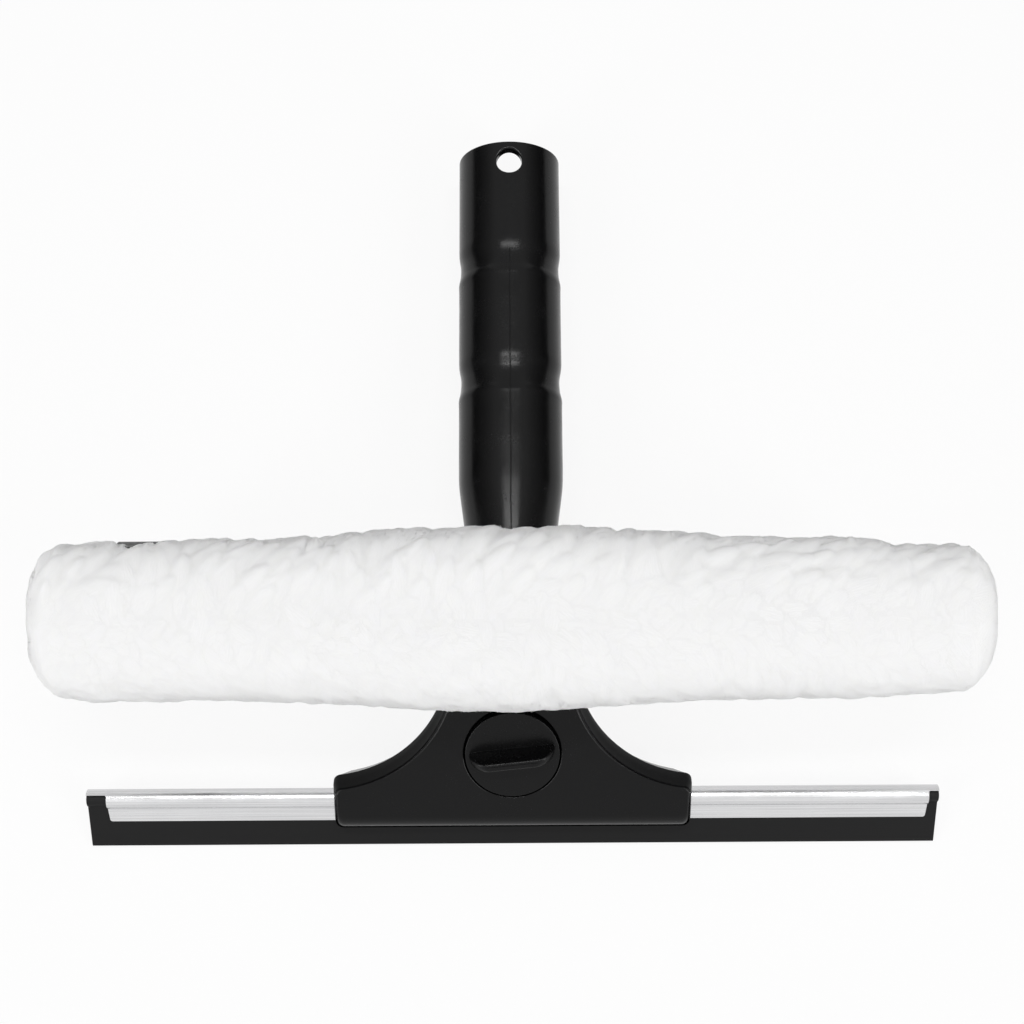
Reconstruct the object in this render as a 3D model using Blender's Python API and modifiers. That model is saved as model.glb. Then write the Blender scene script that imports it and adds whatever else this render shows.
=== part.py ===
"""A window squeegee and washer in one tool, lying on a table with its front up.

A hollow grip with a pole socket runs to an elbow. In front of the elbow a T-bar carries a
microfibre washer sleeve. Below it a two-shell head holds a folded metal channel with a rubber
blade, locked by a quarter-turn knob whose cam drives a clamp jaw onto the channel.

Metres, +Z up. X runs along the blade, +Y from the blade to the open end of the grip. The tool
rests on the blade's edge and on the rim of the grip.
"""

import math

import bmesh
import bpy
from mathutils import Matrix, Vector

MM = 0.001

# Driving dimensions of the whole tool
BLADE_LENGTH = 350 * MM
HANDLE_LENGTH = 197 * MM  # from the elbow to the open end
HEAD_LENGTH = 100 * MM  # from the elbow to the blade's edge
BEND = math.radians(34.1)  # between the grip and the head
FIT_GAP = 0.3 * MM  # between pieces that touch
RUN_GAP = 0.6 * MM  # between pieces that turn or slide in each other
OVERRUN = 4 * MM  # how far a cut runs past what it cuts

# Handle grip
GRIP_RADIUS = 21 * MM
GRIP_RIM_ROUND = 0.6 * MM
GROOVE_DEPTH = 0.9 * MM
GROOVE_HALF_LENGTH = 7.4 * MM
GROOVE_SPACING = 48.9 * MM
FIRST_GROOVE = 48.8 * MM  # from the open end
TAPER_LENGTH = 34 * MM
TAPER_DROP = 3.3 * MM
GRIP_START = 22 * MM  # lower end of the grip, from the elbow
TAPER_FOOT = 5 * MM  # straight length below the taper
SOCKET_RADIUS = 17.2 * MM
SPIGOT_BORE_RADIUS = 14.6 * MM
SPIGOT_BORE_LENGTH = 26 * MM
SOCKET_FLOOR_LENGTH = 5 * MM
HANG_HOLE_RADIUS = 5.2 * MM
HANG_HOLE_INSET = 9 * MM
THUMB_FLAT_TOP = 63 * MM  # where the flat leaves the round grip
THUMB_FLAT_DEPTH = 0.4 * MM
THUMB_FLAT_SLOPE = 0.115
THUMB_FLAT_LENGTH = 52 * MM
THUMB_FLAT_WIDTH = 26 * MM
THUMB_FLAT_STOCK = 6 * MM
GRIP_SIDES = 40

# Elbow
SPIGOT_LENGTH = 23 * MM
SPIGOT_CHAMFER = 0.8 * MM
COLLAR_RADIUS = 17.4 * MM
NECK_HALF_WIDTH = 21.5 * MM
NECK_HALF_DEPTH = 8.3 * MM
TONGUE_HALF_WIDTH = 17 * MM
TONGUE_HALF_DEPTH = 5 * MM
TONGUE_CLEARANCE = 2.6 * MM  # to the raised clamp jaw
SADDLE_HALF_WIDTH = 17 * MM
SADDLE_HALF_HEIGHT = 12 * MM
SADDLE_HEIGHT = 18.5 * MM  # its face, in front of the elbow point
SADDLE_STOCK = 12 * MM
SADDLE_ROUND = 2 * MM

# Washer bar, sleeve and closure
BAR_END_COVER = 12 * MM  # from the bar's end to the sleeve's end
BAR_HALF_HEIGHT = 20 * MM
BAR_HALF_DEPTH = 9 * MM
BAR_WALL = 2.5 * MM
BAR_HUB_HALF_LENGTH = 20 * MM
BAR_OFFSET = 1.2 * MM  # its middle, from the elbow towards the grip
BAR_SLOTS = 5
BAR_SLOT_LENGTH = 18 * MM
BAR_SLOT_HEIGHT = 9 * MM
SLEEVE_LENGTH = 360 * MM
SLEEVE_HALF_HEIGHT = 32 * MM
SLEEVE_HALF_DEPTH = 22.5 * MM
SLEEVE_END_ROUND = 12 * MM
SLEEVE_SLIT_HALF_WIDTH = 24 * MM
SLEEVE_SIDES = 24
TUFT_SPACING = 16 * MM  # the main relief of the pile, in staggered rows
TUFT_DEPTH = 1.6 * MM
STRAP_WIDTH = 17.5 * MM
STRAP_THICKNESS = 1.2 * MM
STRAP_INSET = 37.5 * MM  # its middle, from the sleeve's left end
STRAP_ENDS = (math.radians(14), math.radians(-125))
PATCH_ENDS = (math.radians(-68), math.radians(-150))
STRAP_STEP = math.radians(10)

# Head shells, seen square to their face. A rise is measured up from the channel's axis
HEAD_HALF_WIDTH = 73.2 * MM
HEAD_TOP = 12 * MM  # from the elbow
BLADE_REACH = 21.7 * MM  # the blade's edge, below the channel's axis
LIP_LENGTH = 9.1 * MM  # the head's lower edge, below the channel's axis
HEAD_CORNER = 3 * MM
FLANK_ACROSS = 77.7 * MM  # the middle of the hollow flank's arc, beside the grip's line
FLANK_RISE = 63.1 * MM
FLANK_RADIUS = 52.1 * MM
FACE_HALF_WIDTH = 70.4 * MM
FACE_FOOT = 1.4 * MM  # the face's lower edge, below the channel's axis
FACE_FLANK_ACROSS = 76 * MM
FACE_FLANK_RISE = 65.3 * MM
FACE_FLANK_RADIUS = 54.6 * MM
FACE_HEIGHT = 12.5 * MM  # in front of the blade's plane
FACE_DROP = 2.4 * MM  # how far the face falls back at the neck
FACE_DROP_RISE = 22.3 * MM
FACE_DROP_LENGTH = 28 * MM
FACE_RIM_DEPTH = 3.9 * MM
FLANK_DRAFT = 1.8 * MM
PARTING = 1 * MM
SHELL_WALL = 2.4 * MM
BACK_DEPTH = 9 * MM
BACK_EDGE_DEPTH = 5.5 * MM
BACK_EDGE_INSET = 3 * MM
BACK_INSET = 4.5 * MM
BACK_FOOT = 1.7 * MM
CAVITY_RISE = 9.3 * MM
CAVITY_HALF_WIDTH = 50 * MM
BOSS_RADIUS = 3.6 * MM

# Lock knob
KNOB_RISE = 26.7 * MM
KNOB_RADIUS = 18.9 * MM
KNOB_FRONT = 12.8 * MM
KNOB_THICKNESS = 3.2 * MM
KNOB_CHAMFER = 0.4 * MM
KNOB_REST_ANGLE = math.radians(6.5)
KNOB_RANGE = math.radians(90)
KNOB_HUB_RADIUS = 8 * MM
SHAFT_RADIUS = 4 * MM
COLLAR_WALL = 2 * MM
COLLAR_DEPTH = 5.6 * MM
FINGER_BAR_HEIGHT = 9 * MM
FINGER_BAR_HALF_LENGTH = 17.2 * MM
FINGER_BAR_HALF_WIDTH = 2.7 * MM
FINGER_BAR_HEIGHT_SHARES = (-0.1, 0, 0.35, 0.7, 0.93, 1)
FINGER_BAR_LENGTH_SHARES = (1, 1, 0.94, 0.81, 0.67, 0.6)
FINGER_BAR_WIDTH_SHARES = (1, 1, 0.8, 0.66, 0.6, 0.5)
CAM_RADIUS = 11 * MM
CAM_LIFT = 1.2 * MM
CAM_BACK = 1.6 * MM
CAM_THICKNESS = 4.8 * MM
SHAFT_END = 5.3 * MM  # behind the blade's plane
WASHER_RADIUS = 7 * MM
WASHER_THICKNESS = 1 * MM
WASHER_RECESS_RADIUS = 7.6 * MM
WASHER_RECESS_FLOOR = 5 * MM
SHAFT_BOSS_RADIUS = 9.8 * MM

# Clamp jaw
JAW_RIM = 4 * MM
JAW_BACK = 2 * MM
JAW_THICKNESS = 4 * MM
JAW_BAR_HALF_LENGTH = 50 * MM
JAW_BAR_HEIGHT = 7.5 * MM
JAW_BAR_HALF_DEPTH = 4 * MM
JAW_PLATE_OVERLAP = 2 * MM

# Channel and rubber
CHANNEL_RADIUS = 4 * MM
CHANNEL_SHEET = 0.7 * MM
CHANNEL_SKIRT = 9.3 * MM  # from the axis of its round back to its lower edge
LEFT_NOTCH = 8.4 * MM
RIGHT_NOTCH = 4.4 * MM
NOTCH_RISE = 3.1 * MM
NOTCH_SLANT_DROP = 2.9 * MM
NOTCH_SLANT = 1.6 * MM
NOTCH_ROUND = 1.6 * MM
RUBBER_HALF_THICKNESS = 1.2 * MM

# Screws: head radius, head height, shank radius
SCREW_HEAD_RADIUS = 3.1 * MM
SCREW_HEAD_HEIGHT = 1.7 * MM
SCREW_SHANK_RADIUS = 1.5 * MM
SCREW_CHAMFER = 0.4 * MM
SCREW_RECESS = 2.3 * MM
SHELL_SCREW_PLACES = ((20.5 * MM, 40.8 * MM), (38.5 * MM, 16.1 * MM))  # across, rise
SHELL_SCREW_LENGTH = 14 * MM
NECK_SCREW_ACROSS = 10.5 * MM
NECK_SCREW_SHARE = 0.56  # of the tongue's length
NECK_SCREW_LENGTH = 9 * MM
GRIP_SCREW_PLACES = (28 * MM, 39 * MM)
GRIP_SCREW_LENGTH = 8 * MM
GRIP_SCREW_SEAT = 16.2 * MM  # under its head, from the grip's axis
BAR_SCREW_PLACE = 10.5 * MM
BAR_SCREW_SEAT = 6 * MM  # under its head, in front of the bar's back
BAR_SCREW_LENGTH = 13 * MM
KNOB_SCREW_LENGTH = 9 * MM

# How finely round shapes are drawn
RING_SIDES = 36
SMALL_SIDES = 16
ARC_STEPS = 18
CORNER_STEPS = 4
SHARP_ANGLE = math.radians(35)


def clear_scene():
    for item in list(bpy.data.objects):
        bpy.data.objects.remove(item, do_unlink=True)


def new_collection(name):
    collection = bpy.data.collections.new(name)
    bpy.context.scene.collection.children.link(collection)
    return collection


def new_material(name, colour, roughness, metallic=0):
    material = bpy.data.materials.new(name)
    material.use_nodes = True
    shader = material.node_tree.nodes["Principled BSDF"]
    shader.inputs["Base Color"].default_value = (*colour, 1)
    shader.inputs["Roughness"].default_value = roughness
    shader.inputs["Metallic"].default_value = metallic
    material.diffuse_color = (*colour, 1)
    return material


def new_frame(name, parent=None, location=(0, 0, 0), rotation=(0, 0, 0)):
    """An empty that carries the pieces of one part of the tool."""
    frame = bpy.data.objects.new(name, None)
    frame.parent = parent
    frame.location = location
    frame.rotation_euler = rotation
    PIECES.objects.link(frame)
    return frame


def mesh_from(bm, name):
    mesh = bpy.data.meshes.new(name)
    bmesh.ops.recalc_face_normals(bm, faces=bm.faces)
    bm.to_mesh(mesh)
    bm.free()
    return mesh


def add(name, mesh, frame, location=(0, 0, 0), rotation=(0, 0, 0), material=None):
    """A piece with its material, or a cutter when no material is given."""
    item = bpy.data.objects.new(name, mesh)
    item.parent = frame
    item.location = location
    item.rotation_euler = rotation
    if material:
        item.data.materials.append(material)
        item.data.shade_smooth()
        item.data.set_sharp_from_angle(angle=SHARP_ANGLE)
        PIECES.objects.link(item)
    else:
        item.hide_render = True
        item.display_type = "WIRE"
        CUTTERS.objects.link(item)
    return item


def combine(target, tool, operation="DIFFERENCE"):
    modifier = target.modifiers.new(tool.name, "BOOLEAN")
    modifier.object = tool
    modifier.operation = operation
    modifier.solver = "EXACT"
    return target


def box_mesh(name, low, high):
    bm = bmesh.new()
    size = Vector(high) - Vector(low)
    middle = (Vector(high) + Vector(low)) / 2
    place = Matrix.Translation(middle) @ Matrix.Diagonal((*size, 1))
    bmesh.ops.create_cube(bm, size=1, matrix=place)
    return mesh_from(bm, name)


def rod_mesh(name, radius, low, high, sides=SMALL_SIDES):
    """A cylinder along its own Z, from low to high."""
    bm = bmesh.new()
    place = Matrix.Translation((0, 0, (low + high) / 2))
    bmesh.ops.create_cone(
        bm,
        cap_ends=True,
        segments=sides,
        radius1=radius,
        radius2=radius,
        depth=high - low,
        matrix=place,
    )
    return mesh_from(bm, name)


def turned(name, profile, closed, sides):
    """A profile of (radius, height) that a Screw modifier turns about Z."""
    mesh = bpy.data.meshes.new(name)
    points = [(radius, 0, height) for radius, height in profile]
    edges = [(i, i + 1) for i in range(len(points) - 1)]
    if closed:
        edges.append((len(points) - 1, 0))
    mesh.from_pydata(points, edges, [])
    item = bpy.data.objects.new(name, mesh)
    screw = item.modifiers.new("turn", "SCREW")
    screw.steps = sides
    screw.render_steps = sides
    screw.use_merge_vertices = True
    screw.merge_threshold = MERGE
    solid = as_mesh(item, name)
    bpy.data.objects.remove(item)
    return solid


def as_mesh(item, name):
    """The evaluated shape of an object that isn't kept, with its seams welded."""
    CUTTERS.objects.link(item)
    bpy.context.view_layer.update()
    shape = item.evaluated_get(bpy.context.evaluated_depsgraph_get())
    mesh = bpy.data.meshes.new_from_object(shape)
    mesh.name = name
    bm = bmesh.new()
    bm.from_mesh(mesh)
    bmesh.ops.remove_doubles(bm, verts=bm.verts, dist=MERGE)
    bmesh.ops.recalc_face_normals(bm, faces=bm.faces)
    bm.to_mesh(mesh)
    bm.free()
    return mesh


def prism(name, outlines, low, high):
    """Flat closed outlines, the later ones holes in the first, extruded along Z."""
    curve = bpy.data.curves.new(name, "CURVE")
    curve.dimensions = "2D"
    curve.fill_mode = "BOTH"
    curve.extrude = (high - low) / 2
    for outline in outlines:
        spline = curve.splines.new("POLY")
        spline.points.add(len(outline) - 1)
        for point, (x, y) in zip(spline.points, outline):
            point.co = (x, y, 0, 1)
        spline.use_cyclic_u = True
    item = bpy.data.objects.new(name, curve)
    mesh = as_mesh(item, name)
    bpy.data.objects.remove(item)
    mesh.transform(Matrix.Translation((0, 0, (low + high) / 2)))
    return mesh


def loft(name, rings):
    """A closed skin over rings of equal point counts, capped at both ends."""
    bm = bmesh.new()
    rows = [[bm.verts.new(point) for point in ring] for ring in rings]
    count = len(rings[0])
    for first, second in zip(rows, rows[1:]):
        for i in range(count):
            j = (i + 1) % count
            bm.faces.new((first[i], first[j], second[j], second[i]))
    bm.faces.new(rows[0])
    bm.faces.new(rows[-1])
    return mesh_from(bm, name)


def oval(half_width, half_depth, squareness, count):
    """Points round a superellipse: 2 is an ellipse, more is squarer."""
    points = []
    for i in range(count):
        angle = 2 * math.pi * i / count
        across, up = math.cos(angle), math.sin(angle)
        x = math.copysign(abs(across) ** (2 / squareness), across)
        y = math.copysign(abs(up) ** (2 / squareness), up)
        points.append((half_width * x, half_depth * y))
    return points


def arc(centre, radius, start, end, steps):
    """Points on an arc about centre, with both ends."""
    angles = [start + (end - start) * i / steps for i in range(steps + 1)]
    return [
        (centre[0] + radius * math.cos(a), centre[1] + radius * math.sin(a))
        for a in angles
    ]


def smooth(share):
    share = min(max(share, 0), 1)
    return share * share * (3 - 2 * share)


def screw(name, frame, location, rotation, length):
    """A screw whose head's seat is at its origin, with its shank along +Z."""
    profile = (
        (0, length),
        (SCREW_SHANK_RADIUS - SCREW_CHAMFER, length),
        (SCREW_SHANK_RADIUS, length - SCREW_CHAMFER),
        (SCREW_SHANK_RADIUS, 0),
        (SCREW_HEAD_RADIUS, 0),
        (SCREW_HEAD_RADIUS, SCREW_CHAMFER - SCREW_HEAD_HEIGHT),
        (SCREW_HEAD_RADIUS - SCREW_CHAMFER, -SCREW_HEAD_HEIGHT),
        (0, -SCREW_HEAD_HEIGHT),
    )
    mesh = turned(name, profile, False, SMALL_SIDES)
    return add(name, mesh, frame, location, rotation, STEEL)


def screw_hole(name, frame, location, rotation, length, sink=SCREW_RECESS):
    """The clearance hole of a screw placed alike, with its head's recess."""
    bore = SCREW_SHANK_RADIUS + FIT_GAP
    mouth = SCREW_HEAD_RADIUS + FIT_GAP
    profile = (
        (0, length + FIT_GAP),
        (bore, length + FIT_GAP),
        (bore, 0),
        (mouth, 0),
        (mouth, -sink),
        (0, -sink),
    )
    return add(
        name, turned(name, profile, False, SMALL_SIDES), frame, location, rotation
    )


clear_scene()
MERGE = 0.00001
PIECES = new_collection("window_squeegee")
CUTTERS = new_collection("cutters")
BLACK_PLASTIC = new_material("black_plastic", (0.018, 0.018, 0.019), 0.42)
BLACK_RUBBER = new_material("black_rubber", (0.016, 0.016, 0.016), 0.55)
BRIGHT_METAL = new_material("bright_metal", (0.78, 0.78, 0.79), 0.25, 1)
STEEL = new_material("zinc_steel", (0.55, 0.55, 0.57), 0.35, 1)
FLEECE = new_material("white_fleece", (0.87, 0.87, 0.87), 0.95)
WEBBING = new_material("black_webbing", (0.03, 0.03, 0.032), 0.8)

# Places down the head, from the elbow
channel_place = HEAD_LENGTH - BLADE_REACH
head_bottom = channel_place + LIP_LENGTH
knob_place = channel_place - KNOB_RISE
window_high = CAM_RADIUS - CAM_LIFT + FIT_GAP
neck_place = HEAD_TOP - FIT_GAP
tongue_end = knob_place - window_high - JAW_RIM - CAM_LIFT - TONGUE_CLEARANCE
bar_length = SLEEVE_LENGTH - 2 * BAR_END_COVER

# The pose on the table: the grip's slope that puts the blade's edge and the rim level
rest_length = HANDLE_LENGTH - GRIP_RIM_ROUND
rest_slope = math.atan2(
    HEAD_LENGTH * math.sin(BEND)
    + RUBBER_HALF_THICKNESS * math.cos(BEND)
    - GRIP_RADIUS,
    rest_length
    + HEAD_LENGTH * math.cos(BEND)
    - RUBBER_HALF_THICKNESS * math.sin(BEND),
)
head_slope = BEND - rest_slope
elbow_height = rest_length * math.sin(rest_slope) + GRIP_RADIUS * math.cos(rest_slope)
reach_up = HANDLE_LENGTH * math.cos(rest_slope)
reach_up += (GRIP_RADIUS - GRIP_RIM_ROUND) * math.sin(rest_slope)
reach_down = HEAD_LENGTH * math.cos(head_slope)
reach_down += RUBBER_HALF_THICKNESS * math.sin(head_slope)
elbow = (0, (reach_down - reach_up) / 2, elbow_height)

middle_frame = new_frame("elbow_frame", location=elbow)
handle_frame = new_frame("handle_frame", middle_frame, rotation=(-rest_slope, 0, 0))
head_frame = new_frame("head_frame", middle_frame, rotation=(head_slope, 0, 0))
knob_pivot = new_frame("knob_pivot", head_frame, (0, -knob_place, 0))
jaw_slide = new_frame("jaw_slide", head_frame, (0, -knob_place, 0))
blade_slide = new_frame("blade_slide", head_frame, (0, -channel_place, 0))

# Turns that lay a shape's own Z along another axis of its frame
ALONG_Y = (-math.pi / 2, 0, 0)
ALONG_X = (math.pi / 2, 0, math.pi / 2)


# Handle grip
def grip_radius_at(place):
    """The grip's outer radius at a distance from its open end."""
    radius = GRIP_RADIUS
    for i in range(2):
        share = (place - FIRST_GROOVE - i * GROOVE_SPACING) / GROOVE_HALF_LENGTH
        if abs(share) < 1:
            radius -= GROOVE_DEPTH * (1 + math.cos(math.pi * share)) / 2
    taper_start = HANDLE_LENGTH - GRIP_START - TAPER_FOOT - TAPER_LENGTH
    return radius - TAPER_DROP * smooth((place - taper_start) / TAPER_LENGTH)


def grip_outline():
    """The grip's closed profile as (radius, height above the elbow)."""
    places = [GRIP_RIM_ROUND]
    for i in range(2):
        middle = FIRST_GROOVE + i * GROOVE_SPACING
        places += [middle + GROOVE_HALF_LENGTH * step / 4 for step in range(-4, 5)]
    taper_start = HANDLE_LENGTH - GRIP_START - TAPER_FOOT - TAPER_LENGTH
    places += [taper_start + TAPER_LENGTH * step / 7 for step in range(8)]
    places.append(HANDLE_LENGTH - GRIP_START)
    outer = [(GRIP_RADIUS - GRIP_RIM_ROUND, HANDLE_LENGTH)]
    outer += [(grip_radius_at(place), HANDLE_LENGTH - place) for place in places]
    floor = GRIP_START + SPIGOT_BORE_LENGTH
    inner = [
        (SPIGOT_BORE_RADIUS, GRIP_START),
        (SPIGOT_BORE_RADIUS, floor),
        (SOCKET_RADIUS, floor + SOCKET_FLOOR_LENGTH),
        (SOCKET_RADIUS, HANDLE_LENGTH),
    ]
    return outer + inner


grip = add(
    "handle_grip",
    turned("handle_grip", grip_outline(), True, GRIP_SIDES),
    handle_frame,
    rotation=ALONG_Y,
    material=BLACK_PLASTIC,
)
hang_hole = add(
    "hang_hole_cutter",
    rod_mesh(
        "hang_hole_cutter",
        HANG_HOLE_RADIUS,
        -GRIP_RADIUS - OVERRUN,
        GRIP_RADIUS + OVERRUN,
        RING_SIDES,
    ),
    handle_frame,
    (0, HANDLE_LENGTH - HANG_HOLE_INSET, 0),
)
combine(grip, hang_hole)
thumb_flat = add(
    "thumb_flat_cutter",
    box_mesh(
        "thumb_flat_cutter",
        (-THUMB_FLAT_WIDTH / 2, -THUMB_FLAT_LENGTH, 0),
        (THUMB_FLAT_WIDTH / 2, OVERRUN, THUMB_FLAT_STOCK),
    ),
    handle_frame,
    (0, THUMB_FLAT_TOP, GRIP_RADIUS - THUMB_FLAT_DEPTH),
    (math.atan(THUMB_FLAT_SLOPE), 0, 0),
)
combine(grip, thumb_flat)


# Elbow: a spigot for the grip, a bend, and a flat tongue for the head
def elbow_ring(axis_angle, centre, half_width, half_depth, squareness):
    """A ring square to the tool's run, tilted about X by axis_angle."""
    turn = Matrix.Rotation(axis_angle, 3, "X")
    points = oval(half_width, half_depth, squareness, RING_SIDES)
    return [turn @ Vector((x, 0, z)) + centre for x, z in points]


def elbow_rings():
    up = Matrix.Rotation(-rest_slope, 3, "X") @ Vector((0, 1, 0))
    down = Matrix.Rotation(head_slope, 3, "X") @ Vector((0, -1, 0))
    spigot = SPIGOT_BORE_RADIUS - FIT_GAP
    top = GRIP_START + SPIGOT_LENGTH
    collar = GRIP_START - FIT_GAP
    rings = []
    for place, radius in (
        (top, spigot - SPIGOT_CHAMFER),
        (top - SPIGOT_CHAMFER, spigot),
        (collar, spigot),
        (collar, COLLAR_RADIUS),
    ):
        rings.append(elbow_ring(-rest_slope, up * place, radius, radius, 2))
    steps = CORNER_STEPS + 2
    for step in range(1, steps + 1):
        share = step / steps
        centre = up * collar * (1 - share) ** 2 + down * neck_place * share**2
        angle = head_slope * share - rest_slope * (1 - share)
        blend = smooth(share)
        width = COLLAR_RADIUS + (NECK_HALF_WIDTH - COLLAR_RADIUS) * blend
        depth = COLLAR_RADIUS + (NECK_HALF_DEPTH - COLLAR_RADIUS) * blend
        rings.append(elbow_ring(angle, centre, width, depth, 2 + 3 * blend))
    for place in (neck_place, tongue_end):
        rings.append(
            elbow_ring(
                head_slope, down * place, TONGUE_HALF_WIDTH, TONGUE_HALF_DEPTH, 5
            )
        )
    return rings


neck_elbow = add(
    "neck_elbow",
    loft("neck_elbow", elbow_rings()),
    middle_frame,
    material=BLACK_PLASTIC,
)
saddle = add(
    "saddle_block",
    box_mesh(
        "saddle_block",
        (-SADDLE_HALF_WIDTH, -SADDLE_HALF_HEIGHT, SADDLE_HEIGHT - SADDLE_STOCK),
        (SADDLE_HALF_WIDTH, SADDLE_HALF_HEIGHT, SADDLE_HEIGHT),
    ),
    middle_frame,
)
saddle_bevel = saddle.modifiers.new("round", "BEVEL")
saddle_bevel.width = SADDLE_ROUND
saddle_bevel.segments = 2
combine(neck_elbow, saddle, "UNION")

# Screws that hold the grip on the spigot, from behind
for number, place in enumerate(GRIP_SCREW_PLACES, 1):
    seat = (0, place, -GRIP_SCREW_SEAT)
    screw(
        f"handle_screw_{number}",
        handle_frame,
        (0, place, -GRIP_SCREW_SEAT - FIT_GAP),
        (0, 0, 0),
        GRIP_SCREW_LENGTH,
    )
    hole = screw_hole(
        f"handle_screw_hole_{number}",
        handle_frame,
        seat,
        (0, 0, 0),
        GRIP_SCREW_LENGTH,
        SCREW_RECESS + SCREW_HEAD_HEIGHT,
    )
    combine(grip, hole)
    combine(neck_elbow, hole)


# Washer bar: a closed-end box section with a solid hub and drain slots
bar_frame = new_frame(
    "bar_frame",
    middle_frame,
    (0, BAR_OFFSET, SADDLE_HEIGHT + FIT_GAP + BAR_HALF_DEPTH),
)


def bar_section(half_height, half_depth):
    """A flat bar's section with full round edges, as (height, depth) points."""
    straight = half_height - half_depth
    right = arc((straight, 0), half_depth, -math.pi / 2, math.pi / 2, 2 * CORNER_STEPS)
    left = [(-x, -y) for x, y in right]
    return right + left


half_bar = bar_length / 2
bar = add(
    "washer_bar",
    prism(
        "washer_bar",
        [bar_section(BAR_HALF_HEIGHT, BAR_HALF_DEPTH)],
        -half_bar,
        half_bar,
    ),
    bar_frame,
    rotation=ALONG_X,
    material=BLACK_PLASTIC,
)
hollow_section = bar_section(BAR_HALF_HEIGHT - BAR_WALL, BAR_HALF_DEPTH - BAR_WALL)
for side, name in ((-1, "left"), (1, "right")):
    ends = sorted((side * BAR_HUB_HALF_LENGTH, side * (half_bar - BAR_WALL)))
    hollow = add(
        f"bar_hollow_{name}",
        prism(f"bar_hollow_{name}", [hollow_section], *ends),
        bar_frame,
        rotation=ALONG_X,
    )
    combine(bar, hollow)
slot_pitch = (half_bar - BAR_HUB_HALF_LENGTH) / BAR_SLOTS
slots = bmesh.new()
for side in (-1, 1):
    for i in range(BAR_SLOTS):
        middle = side * (BAR_HUB_HALF_LENGTH + slot_pitch * (i + 0.5))
        size = (BAR_SLOT_LENGTH, BAR_SLOT_HEIGHT, 2 * (BAR_HALF_DEPTH + OVERRUN))
        place = Matrix.Translation((middle, 0, 0)) @ Matrix.Diagonal((*size, 1))
        bmesh.ops.create_cube(slots, size=1, matrix=place)
combine(bar, add("bar_slots", mesh_from(slots, "bar_slots"), bar_frame))
for side, name in ((-1, "left"), (1, "right")):
    spot = Vector((side * BAR_SCREW_PLACE, 0, BAR_SCREW_SEAT - BAR_HALF_DEPTH))
    screw(
        f"bar_screw_{name}",
        bar_frame,
        spot + Vector((0, 0, FIT_GAP)),
        (math.pi, 0, 0),
        BAR_SCREW_LENGTH,
    )
    hole = screw_hole(
        f"bar_screw_hole_{name}",
        bar_frame,
        spot,
        (math.pi, 0, 0),
        BAR_SCREW_LENGTH,
        2 * BAR_HALF_DEPTH,
    )
    combine(bar, hole)
    combine(neck_elbow, hole)


# Washer sleeve: a padded tube over the bar, open behind for the elbow
def sleeve_ring(place, share, row):
    """A ring of the tube. Its tufts stand out on every second point, staggered by row."""
    height = SLEEVE_HALF_HEIGHT * share
    depth = SLEEVE_HALF_DEPTH * share
    points = oval(height, depth, SLEEVE_SQUARENESS, SLEEVE_SIDES)
    by_strap = abs(place - STRAP_INSET + half_sleeve) < STRAP_WIDTH / 2 + TUFT_SPACING / 2
    ring = []
    for i, (y, z) in enumerate(points):
        fall = 0
        if (i + row) % 2 and not by_strap:
            fall = TUFT_DEPTH * share / SLEEVE_HALF_HEIGHT
        ring.append(Vector((place, y * (1 - fall), z * (1 - fall))))
    return ring


SLEEVE_SQUARENESS = 2.5
half_sleeve = SLEEVE_LENGTH / 2
end_steps = CORNER_STEPS + 1
end_profile = []
for step in range(end_steps + 1):
    angle = math.pi / 2 * step / end_steps
    out = SLEEVE_END_ROUND * math.sin(angle)
    loss = SLEEVE_END_ROUND / SLEEVE_HALF_DEPTH * (1 - math.cos(angle))
    end_profile.append((half_sleeve - SLEEVE_END_ROUND + out, 1 - loss))
sleeve_places = [(-place, share) for place, share in reversed(end_profile)]
straight = SLEEVE_LENGTH - 2 * SLEEVE_END_ROUND
row_count = round(2 * straight / TUFT_SPACING)
for i in range(1, row_count):
    sleeve_places.append((straight * (i / row_count - 1 / 2), 1))
sleeve_places += end_profile
sleeve_rings = [sleeve_ring(*spot, i) for i, spot in enumerate(sleeve_places)]
sleeve = add(
    "washer_sleeve",
    loft("washer_sleeve", sleeve_rings),
    bar_frame,
    material=FLEECE,
)
pocket = add(
    "sleeve_pocket",
    prism(
        "sleeve_pocket",
        [bar_section(BAR_HALF_HEIGHT + FIT_GAP, BAR_HALF_DEPTH + FIT_GAP)],
        -half_bar - FIT_GAP,
        half_bar + FIT_GAP,
    ),
    bar_frame,
    rotation=ALONG_X,
)
combine(sleeve, pocket)
slit = add(
    "sleeve_slit",
    box_mesh(
        "sleeve_slit",
        (
            -SLEEVE_SLIT_HALF_WIDTH,
            -SLEEVE_HALF_HEIGHT - OVERRUN,
            -SLEEVE_HALF_DEPTH - OVERRUN,
        ),
        (
            SLEEVE_SLIT_HALF_WIDTH,
            SLEEVE_HALF_HEIGHT + OVERRUN,
            -BAR_HALF_DEPTH + FIT_GAP,
        ),
    ),
    bar_frame,
)
combine(sleeve, slit)


# Closure: a loop patch sewn behind the sleeve and the hook strap that laps over it
def sleeve_point(angle, offset):
    """A point round the sleeve, offset out of it. 0 is the edge towards the grip."""
    across, up = math.cos(angle), math.sin(angle)
    y = math.copysign(abs(across) ** (2 / SLEEVE_SQUARENESS), across)
    z = math.copysign(abs(up) ** (2 / SLEEVE_SQUARENESS), up)
    point = Vector((0, y * SLEEVE_HALF_HEIGHT, z * SLEEVE_HALF_DEPTH))
    slope_y = math.copysign(abs(y) ** (SLEEVE_SQUARENESS - 1), y) / SLEEVE_HALF_HEIGHT
    slope_z = math.copysign(abs(z) ** (SLEEVE_SQUARENESS - 1), z) / SLEEVE_HALF_DEPTH
    return point + Vector((0, slope_y, slope_z)).normalized() * offset


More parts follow.
